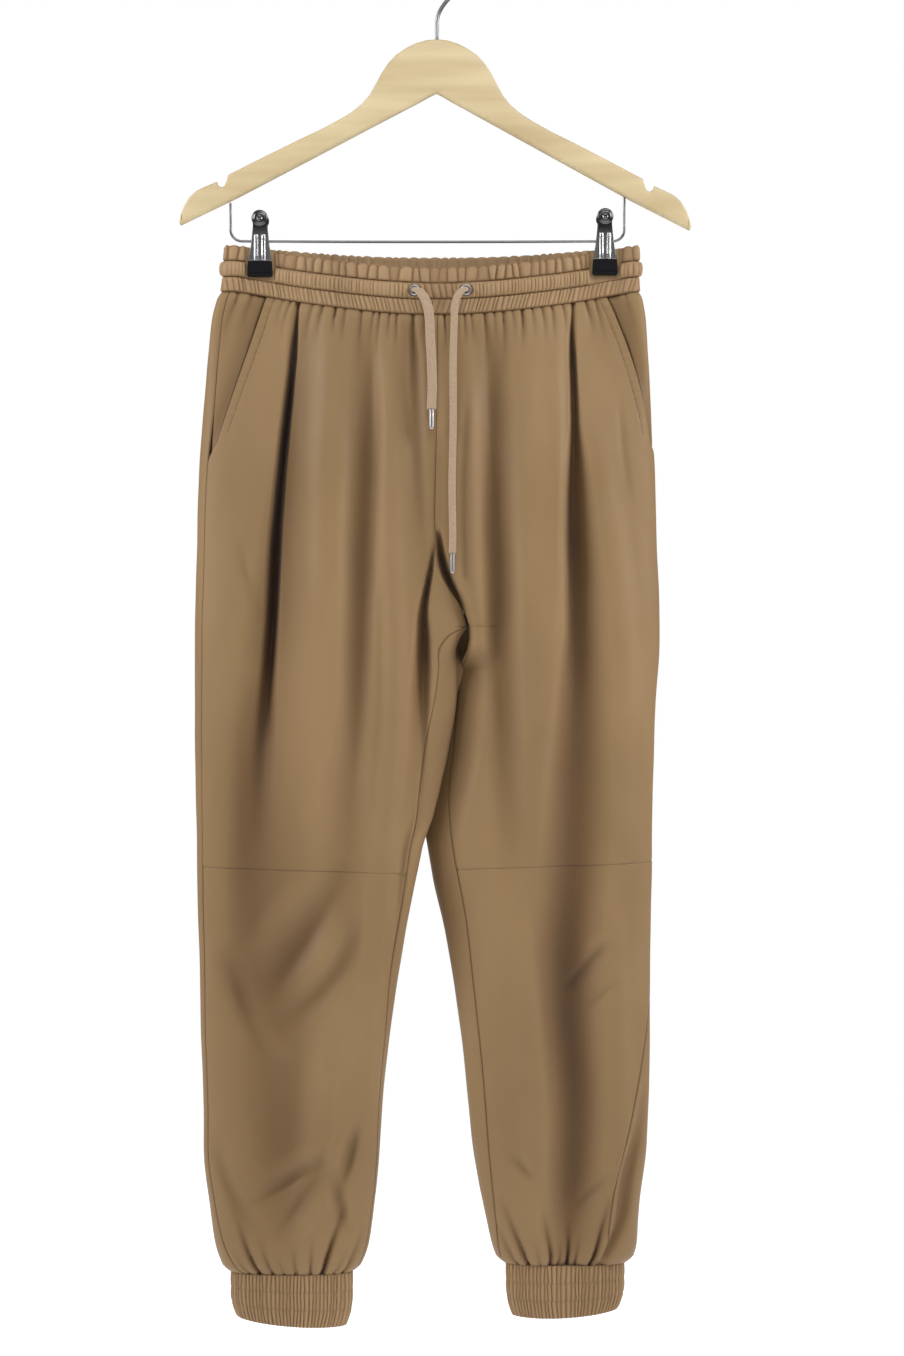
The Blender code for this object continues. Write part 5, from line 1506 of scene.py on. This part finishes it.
def make_wood():
    """The arm drawn out from its middle to its tip, mirrored, and rounded along its rims."""
    stations = sorted({x for x, _ in WOOD_TOP + WOOD_UNDERSIDE} - {0})
    half = WOOD_THICKNESS / 2
    here = WOOD_START
    top, low = edge_z(WOOD_TOP, here), edge_z(WOOD_UNDERSIDE, here)
    made = add_cube("wooden_arm", (0, -half, low), (here, half, top))
    pick(made, "faces", lambda face: face.normal.x > 0.9)
    for x in stations:
        next_top, next_low = edge_z(WOOD_TOP, x), edge_z(WOOD_UNDERSIDE, x)
        middle = (next_top + next_low) / 2
        draw_out((x - here, 0, middle - (top + low) / 2),
                 (1, 1, (next_top - next_low) / (top - low)), (x, 0, middle))
        here, top, low = x, next_top, next_low
    pick(made, "faces", lambda face: face.normal.x < -0.9
         and abs(face.calc_center_median().x) < 1e-6)
    bpy.ops.mesh.delete(type="FACE")
    bpy.ops.object.mode_set(mode="OBJECT")
    both = made.modifiers.new("both_arms", "MIRROR")
    both.merge_threshold = WELD * MM
    bpy.ops.object.modifier_apply(modifier=both.name)
    bpy.ops.object.mode_set(mode="EDIT")
    bpy.ops.mesh.select_all(action="SELECT")
    bpy.ops.mesh.remove_doubles(threshold=WELD * MM)
    bpy.ops.mesh.normals_make_consistent(inside=False)
    end = (WOOD_TOP[-1][0] - 0.1) * MM
    pick(made, "edges", lambda edge: sorted(
        abs(face.normal.y) > 0.9 for face in edge.link_faces) == [False, True]
        or all(abs(vert.co.x) > end for vert in edge.verts)
        and abs(edge.verts[0].co.y - edge.verts[1].co.y) > 1 * MM)
    bpy.ops.mesh.bevel(offset=WOOD_ROUNDING * MM, segments=4, clamp_overlap=False)
    bpy.ops.mesh.select_all(action="SELECT")
    bpy.ops.transform.rotate(value=ROTATE_WAY * HANGER_TILT, orient_axis="Y",
                             center_override=at((0, 0, WOOD_TOP[0][1])))
    return close_shape(made, 32)


def smooth_line(points, count):
    """Evenly spaced points of a smooth curve in the XZ plane."""
    line, _ = smooth_route([(x, 0.0, z) for x, z in points], count)
    return line[:, [0, 2]]


def make_hook():
    centre_z = WIRE_RADIUS - HOOK_RADIUS
    arc = [(HOOK_RADIUS * math.cos(angle), centre_z + HOOK_RADIUS * math.sin(angle))
           for angle in map(math.radians, HOOK_ANGLES)]
    return drawn_wire("wire_hook", smooth_line((*HOOK_STEM, *arc), 64), WIRE_RADIUS, WIRE_SIDES)


def bar_z(x):
    """The bar sags a little between its corners."""
    share = (x - BAR_X[0]) / (BAR_X[1] - BAR_X[0])
    return BAR_Z - BAR_SAG * arch(share)


def wood_underside(x):
    """Height of the hung wood's lower edge."""
    return edge_z(WOOD_UNDERSIDE, abs(x)) - x * math.tan(HANGER_TILT)


def bar_corner(x, way):
    """A corner of the bar from its upright end to its level run."""
    return [(x + way * BAR_CORNER * (1 - math.cos(angle)),
             BAR_Z + BAR_CORNER * (1 - math.sin(angle)))
            for angle in np.radians(np.linspace(0, 90, 9))]


def make_bar():
    left, right = BAR_X
    tops = [wood_underside(x) - BAR_CLEARANCE for x in BAR_X]
    uprights = [[(x, top), (x, (top + BAR_Z) / 2)] for x, top in zip(BAR_X, tops)]
    level = [(x, bar_z(x)) for x in np.linspace(left + 2 * BAR_CORNER, right - 2 * BAR_CORNER, 13)]
    route = (uprights[0] + bar_corner(left, 1) + level + bar_corner(right, -1)[::-1]
             + uprights[1][::-1])
    return drawn_wire("clip_bar", route, BAR_RADIUS, 16)


def press_plate():
    """A leaf's widening plate with its two ribs."""
    z, y, half = LEAF[0]
    wall = LEAF_THICKNESS / 2
    made = add_cube("pressed_leaf", (-half, -y - wall, z), (half, -y + wall, z + LEAF_START))
    pick(made, "faces", lambda face: face.normal.z < -0.9)
    for next_z, next_y, next_half in LEAF[1:]:
        draw_out((0, y - next_y, next_z - z), (next_half / half, 1, 1), (0, -next_y, next_z))
        z, y, half = next_z, next_y, next_half
    for cut in sorted(value for rib in RIBS for value in rib):
        bpy.ops.mesh.select_all(action="SELECT")
        bpy.ops.mesh.bisect(plane_co=at((cut, 0, 0)), plane_no=(1, 0, 0))
    bpy.ops.mesh.select_all(action="SELECT")
    bpy.ops.mesh.bisect(plane_co=at((0, 0, RIB_TOP)), plane_no=(0, 0, 1))
    for low, high in RIBS:
        pick(made, "faces", lambda face: face.normal.y < -0.8
             and low * MM < face.calc_center_median().x < high * MM
             and face.calc_center_median().z < RIB_TOP * MM)
        draw_out((0, -RIB_HEIGHT, 0), (RIB_TAPER, 1, 1), ((low + high) / 2, 0, 0))
    close_shape(made)
    bevel_all(made, LEAF_ROUNDING, 2)
    return made


def make_ears():
    """The two ears behind a leaf, each with a hole for the bar."""
    ears = []
    for way in (-1, 1):
        ear = add_cube("leaf_ear", (way * EAR_X - EAR_HALF, -EAR_REACH, EAR_Z[1]),
                       (way * EAR_X + EAR_HALF, -GAP / 2, EAR_Z[0]))
        close_shape(ear)
        bevel_all(ear, EAR_ROUNDING, 2)
        ears.append(ear)
    rim, length = BAR_HOLE, 2 * BAR_HOLE_REACH
    cutter = turned("bar_hole", (0, 0, 0), ((0.01, 0.0), (rim, 0.0), (rim, length), (0.01, length)),
                    24, (0, 0, -1))
    cutter.rotation_euler = (0, math.pi / 2, 0)
    cutter.location = at((BAR_HOLE_REACH, 0, BAR_Z - BAR_HOLE_DROP))
    bpy.ops.object.transform_apply(location=True, rotation=True, scale=True)
    for ear in ears:
        bpy.context.view_layer.objects.active = ear
        hole = ear.modifiers.new("bar_hole", "BOOLEAN")
        hole.operation, hole.object = "DIFFERENCE", cutter
        bpy.ops.object.modifier_apply(modifier=hole.name)
    bpy.data.objects.remove(cutter)
    return ears


def make_leaf():
    """A clip's pressed leaf at x = 0, facing the front, with its ears and finger disc."""
    plate = press_plate()
    parts = [plate, *make_ears(),
             turned("finger_disc", (0, -DISC_DEPTH, DISC_Z), DISC_PROFILE, 36, (0, -1, 0))]
    bpy.ops.object.select_all(action="DESELECT")
    for part in parts:
        part.select_set(True)
    bpy.context.view_layer.objects.active = plate
    bpy.ops.object.join()
    bpy.ops.object.shade_smooth_by_angle(angle=math.radians(40))
    return plate


def make_pad():
    """A clip's rubber jaw at x = 0, facing the front."""
    near, far = PAD_Y
    half = PAD_HALF_WIDTHS[0]
    made = add_cube("rubber_pad", (-half, -far, PAD_Z[1]), (half, -near, PAD_Z[0]))
    pick(made, "faces", lambda face: face.normal.z < -0.9)
    bpy.ops.transform.resize(value=(PAD_HALF_WIDTHS[1] / half, 1, 1),
                             center_override=at((0, 0, PAD_Z[1])))
    pick(made, "edges", lambda edge: all(vert.co.z < (PAD_Z[1] + 1) * MM for vert in edge.verts)
         and abs(edge.verts[0].co.x - edge.verts[1].co.x) < 1 * MM)
    bpy.ops.mesh.bevel(offset=PAD_CORNER * MM, segments=5)
    for z in PAD_GROOVE:
        bpy.ops.mesh.select_all(action="SELECT")
        bpy.ops.mesh.bisect(plane_co=at((0, 0, z)), plane_no=(0, 0, 1))
    close_shape(made)
    bevel_all(made, PAD_ROUNDING, 3, 50)
    bpy.ops.object.mode_set(mode="EDIT")
    low, high = sorted(PAD_GROOVE)
    pick(made, "faces", lambda face: low * MM < face.calc_center_median().z < high * MM
         and abs(face.normal.z) < 0.5)
    bpy.ops.mesh.extrude_region_shrink_fatten(
        TRANSFORM_OT_shrink_fatten={"value": -PAD_GROOVE_DEPTH * MM})
    return close_shape(made, 35)


def place_copy(made, name, x, lift, facing):
    """A copy of a front piece, moved to its clip and turned round for the back."""
    bpy.ops.object.select_all(action="DESELECT")
    made.select_set(True)
    bpy.context.view_layer.objects.active = made
    bpy.ops.object.duplicate(linked=False)
    copy = bpy.context.object
    copy.name = copy.data.name = name
    copy.location = at((x, 0, lift))
    copy.rotation_euler = (0, 0, math.pi if facing == "back" else 0)
    bpy.ops.object.transform_apply(location=True, rotation=True, scale=True)
    return copy


def make_hard_pieces(finishes):
    finish_piece(make_wood(), "wood", finishes["wood"], "hanger_wood")
    finish_piece(make_hook(), "chrome", finishes["wire"], "hanger_hook")
    finish_piece(make_bar(), "chrome", finishes["wire"], "trouser_bar")
    leaf, pad = make_leaf(), make_pad()
    for side in SIGN:
        for facing in ("front", "back"):
            x, lift = CLIP_X[side], CLIP_LIFT[side]
            finish_piece(place_copy(leaf, f"clip_leaf_{facing}_{side}", x, lift, facing),
                         "chrome", finishes["chrome"], f"clip_{facing}_{side}")
            finish_piece(place_copy(pad, f"clip_pad_{facing}_{side}", x, lift, facing),
                         "rubber", finishes["rubber"], f"pad_{facing}_{side}")
        eyelet = turned(f"rolled_eyelet_{side}", EYELETS[side], EYELET_PROFILE, 40, (0, -1, 0))
        finish_piece(eyelet, "trim_metal", finishes["steel"], f"eyelet_{side}")
    bpy.data.objects.remove(leaf)
    bpy.data.objects.remove(pad)


def make_tip(side):
    x, y, z = CORD_ROUTES[side][-1]
    return turned(f"cord_end_{side}", (x, y, z - GAP), TIP_PROFILE, 28, (0, 0, -1))


# Finishes


def new_finish(name, colour, roughness, metallic=0.0):
    finish = bpy.data.materials.new(name)
    finish.use_nodes = True
    shader = finish.node_tree.nodes["Principled BSDF"]
    shader.inputs["Base Color"].default_value = (*colour, 1)
    shader.inputs["Roughness"].default_value = roughness
    shader.inputs["Metallic"].default_value = metallic
    return finish, finish.node_tree, shader


def object_place(tree):
    return tree.nodes.new("ShaderNodeTexCoord").outputs["Object"]


def add_noise(tree, scale, detail, stretch=None):
    source = object_place(tree)
    noise = tree.nodes.new("ShaderNodeTexNoise")
    noise.inputs["Scale"].default_value = scale
    noise.inputs["Detail"].default_value = detail
    if stretch:
        mapping = tree.nodes.new("ShaderNodeMapping")
        mapping.inputs["Scale"].default_value = stretch
        tree.links.new(source, mapping.inputs["Vector"])
        source = mapping.outputs["Vector"]
    tree.links.new(source, noise.inputs["Vector"])
    return noise.outputs["Fac"]


def add_ramp(tree, source, *stops):
    ramp = tree.nodes.new("ShaderNodeValToRGB")
    marks = ramp.color_ramp.elements
    for _ in stops[2:]:
        marks.new(0.5)
    for mark, (position, colour) in zip(marks, stops):
        mark.position, mark.color = position, (*colour, 1)
    tree.links.new(source, ramp.inputs["Fac"])
    return ramp.outputs["Color"]


def add_tones(tree, shader, source, *stops):
    tree.links.new(add_ramp(tree, source, *stops), shader.inputs["Base Color"])


def add_range(tree, source, low, high, start=0.0, end=1.0):
    """A value that goes from low to high while its source goes from start to end."""
    span = tree.nodes.new("ShaderNodeMapRange")
    values = {"From Min": start, "From Max": end, "To Min": low, "To Max": high}
    for name, value in values.items():
        span.inputs[name].default_value = value
    tree.links.new(source, span.inputs["Value"])
    return span.outputs["Result"]


def add_height(tree, low, high):
    """0 at a low height in metres, rising to 1 at a high one."""
    axes = tree.nodes.new("ShaderNodeSeparateXYZ")
    tree.links.new(object_place(tree), axes.inputs["Vector"])
    return add_range(tree, axes.outputs["Z"], 0, 1, low, high)


def multiplied(tree, first, second):
    mix = tree.nodes.new("ShaderNodeMix")
    mix.data_type, mix.blend_type = "RGBA", "MULTIPLY"
    mix.inputs["Factor"].default_value = 1
    tree.links.new(first, mix.inputs["A"])
    tree.links.new(second, mix.inputs["B"])
    return mix.outputs["Result"]


def add_bump(tree, shader, source, strength, depth, below=None):
    relief = tree.nodes.new("ShaderNodeBump")
    relief.inputs["Strength"].default_value = strength
    relief.inputs["Distance"].default_value = depth * MM
    tree.links.new(source, relief.inputs["Height"])
    if below:
        tree.links.new(below, relief.inputs["Normal"])
    tree.links.new(relief.outputs["Normal"], shader.inputs["Normal"])
    return relief.outputs["Normal"]


# Painted shade that multiplies the colour down in a hollow: share of the deepest hollow, tint.
PAINTED_SHADE_TINTS = ((0.0, (1, 1, 1)), (0.5, (0.60, 0.53, 0.46)), (1.0, (0.17, 0.12, 0.10)))
# Painted shade: the lower legs are a shade darker, as the light falls off towards the bottom:
# height in metres at which it is full and at which it starts.
LOW_SHADE_HEIGHTS = (-1.02, -0.74)
LOW_SHADE_TINT = (0.88, 0.87, 0.85)
# Painted reflection: a clip is darker up on its finger disc, standing in for dark surroundings
# mirrored in it: height where that starts, and where it is full.
DISC_REFLECTION_HEIGHTS = (-0.241, -0.2305)
DISC_REFLECTION_TONES = ((0, (0.52, 0.52, 0.535)), (1, (0.11, 0.105, 0.11)))


def leather_finish(name, dark, light):
    """Satin faux leather, with painted shade that makes it darker and browner down in its folds and
    a little darker low on the legs.
    """
    finish, tree, shader = new_finish(name, light, 0.5)
    tone = add_noise(tree, 14, 3, (1, 1, 0.4))
    hollow = tree.nodes.new("ShaderNodeAttribute")
    hollow.attribute_name = "hollow"
    colour = multiplied(tree, add_ramp(tree, tone, (0.35, dark), (0.68, light)),
                        add_ramp(tree, hollow.outputs["Fac"], *PAINTED_SHADE_TINTS))
    # Painted shade: darker towards the bottom of the legs.
    height = add_height(tree, *LOW_SHADE_HEIGHTS)
    colour = multiplied(tree, colour, add_ramp(tree, height, (0, LOW_SHADE_TINT), (1, (1, 1, 1))))
    tree.links.new(colour, shader.inputs["Base Color"])
    tree.links.new(add_range(tree, add_noise(tree, 90, 4), 0.5, 0.63), shader.inputs["Roughness"])
    shader.inputs["Specular IOR Level"].default_value = 0.26
    grain = tree.nodes.new("ShaderNodeTexVoronoi")
    grain.inputs["Scale"].default_value = 850
    tree.links.new(object_place(tree), grain.inputs["Vector"])
    first = add_bump(tree, shader, grain.outputs["Distance"], 0.25, 0.12)
    add_bump(tree, shader, add_noise(tree, 240, 3), 0.2, 0.3, first)
    shader.inputs["Sheen Weight"].default_value = 0.08
    shader.inputs["Sheen Roughness"].default_value = 0.45
    return finish


def wood_finish():
    finish, tree, shader = new_finish("pale_lacquered_wood", (0.73, 0.58, 0.33), 0.42)
    grain = add_noise(tree, 26, 6, (0.25, 1, 2.6))
    add_tones(tree, shader, grain, (0.3, (0.45, 0.345, 0.188)), (0.7, (0.575, 0.47, 0.28)))
    add_bump(tree, shader, grain, 0.08, 0.2)
    return finish


def metal_finish(name, colour, low, high, reflection_tones=()):
    """Metal of uneven polish, with other tones where it belongs to a clip's finger disc, which
    paint a dark reflection there.
    """
    finish, tree, shader = new_finish(name, colour, low, 1.0)
    tree.links.new(add_range(tree, add_noise(tree, 300, 3), low, high), shader.inputs["Roughness"])
    if reflection_tones:
        # Painted reflection: the finger disc darker, as if it mirrored dark surroundings.
        add_tones(tree, shader, add_height(tree, *DISC_REFLECTION_HEIGHTS), *reflection_tones)
    return finish


def rubber_finish():
    finish, tree, shader = new_finish("black_rubber", (0.004, 0.004, 0.005), 0.6)
    add_bump(tree, shader, add_noise(tree, 900, 2), 0.2, 0.1)
    shader.inputs["Specular IOR Level"].default_value = 0.12
    return finish


def braid_finish():
    finish, tree, shader = new_finish("cord_braid", (0.42, 0.30, 0.20), 0.9)
    add_tones(tree, shader, add_noise(tree, 700, 2), (0.3, (0.295, 0.208, 0.134)),
              (0.7, (0.37, 0.263, 0.176)))
    add_bump(tree, shader, add_noise(tree, 1400, 2), 0.4, 0.2)
    shader.inputs["Sheen Weight"].default_value = 0.2
    return finish


def thread_finish():
    finish, tree, shader = new_finish("tan_thread", (0.24, 0.155, 0.082), 0.7)
    add_tones(tree, shader, add_noise(tree, 1600, 2), (0.3, (0.13, 0.083, 0.043)),
              (0.7, (0.185, 0.12, 0.065)))
    return finish


# Light


def softbox(name, place, aim, width, height, power):
    lamp = bpy.data.lights.new(name, "AREA")
    lamp.shape = "RECTANGLE"
    lamp.size, lamp.size_y = width, height
    lamp.energy = power
    made = bpy.data.objects.new(name, lamp)
    made.location = place
    away = unit(np.array(place) - np.array(aim))
    level = math.hypot(away[0], away[1])
    made.rotation_euler = (math.atan2(level, away[2]), 0, math.atan2(away[0], -away[1]))
    bpy.context.scene.collection.objects.link(made)


# Softboxes: place, width and height in metres, power in watts.
SOFTBOXES = {
    "left_softbox": ((-1.9, -0.7, 0.4), 0.9, 1.3, 41),
    "right_softbox": ((1.9, -0.7, 0.4), 0.9, 1.3, 41),
    "top_softbox": ((0.2, -1.3, 0.8), 1.3, 0.7, 14),
}
LIGHT_AIM = (0, 0, -0.65)
FILL_STRENGTH = 0.13


def make_light():
    """A white studio that is brighter to the eye than the fill light it gives."""
    world = bpy.data.worlds.new("white_studio")
    world.use_nodes = True
    tree = world.node_tree
    fill = tree.nodes["Background"]
    fill.inputs["Color"].default_value = (1, 1, 1, 1)
    fill.inputs["Strength"].default_value = FILL_STRENGTH
    seen = tree.nodes.new("ShaderNodeBackground")
    seen.inputs["Color"].default_value = (1, 1, 1, 1)
    rays = tree.nodes.new("ShaderNodeLightPath")
    choice = tree.nodes.new("ShaderNodeMixShader")
    tree.links.new(rays.outputs["Is Camera Ray"], choice.inputs["Fac"])
    tree.links.new(fill.outputs["Background"], choice.inputs[1])
    tree.links.new(seen.outputs["Background"], choice.inputs[2])
    tree.links.new(choice.outputs["Shader"], tree.nodes["World Output"].inputs["Surface"])
    bpy.context.scene.world = world
    for name, (place, width, height, power) in SOFTBOXES.items():
        softbox(name, place, LIGHT_AIM, width, height, power)


FLOOR_Z = -1.30


def make_floor():
    bpy.ops.object.select_all(action="DESELECT")
    bpy.ops.mesh.primitive_circle_add(vertices=96, radius=2.2, fill_type="NGON",
                                      location=(0, 0, FLOOR_Z))
    floor = bpy.context.object
    floor.name = "studio_floor"
    finish, _, shader = new_finish("white_floor", (0.9, 0.9, 0.9), 0.9)
    shader.inputs["Emission Color"].default_value = (1, 1, 1, 1)
    shader.inputs["Emission Strength"].default_value = 0.7
    floor.data.materials.append(finish)


def main():
    make_camera()
    braid = braid_finish()
    steel = metal_finish("satin_steel", (0.46, 0.45, 0.455), 0.3, 0.42)
    for side in SIGN:
        make_cord(side, braid, steel)
    leather = leather_finish("tan_faux_leather", (0.217, 0.134, 0.060), (0.253, 0.159, 0.073))
    band = leather_finish("gathered_faux_leather", (0.282, 0.179, 0.090), (0.321, 0.207, 0.106))
    sheets, threads = [], []
    for side in SIGN:
        front, stitching = make_upper_front(side)
        threads.append(stitching)
        sheets += [front, make_lower_front(side), make_back(side), make_facing(side),
                   make_cuff(side)]
    sheets += [make_band("front"), make_band("back")]
    for made in sheets:
        node = made.name.replace("_cloth", "")
        kind = node.rsplit("_", 1)[0]
        elastic = kind in ("waistband", "cuff")
        finish_piece(made, "elastic_band" if elastic else "faux_leather",
                     band if elastic else leather, node)
    make_hard_pieces({
        "wood": wood_finish(), "rubber": rubber_finish(), "steel": steel,
        "wire": metal_finish("grey_wire", (0.24, 0.24, 0.25), 0.26, 0.38),
        "chrome": metal_finish("dark_chrome", (0.48, 0.48, 0.495), 0.2, 0.3, DISC_REFLECTION_TONES),
    })
    thread = thread_finish()
    for stitching in threads:
        finish_piece(stitching, "cord", thread)
    make_floor()
    make_light()
    bpy.context.scene.view_settings.view_transform = "Standard"


main()
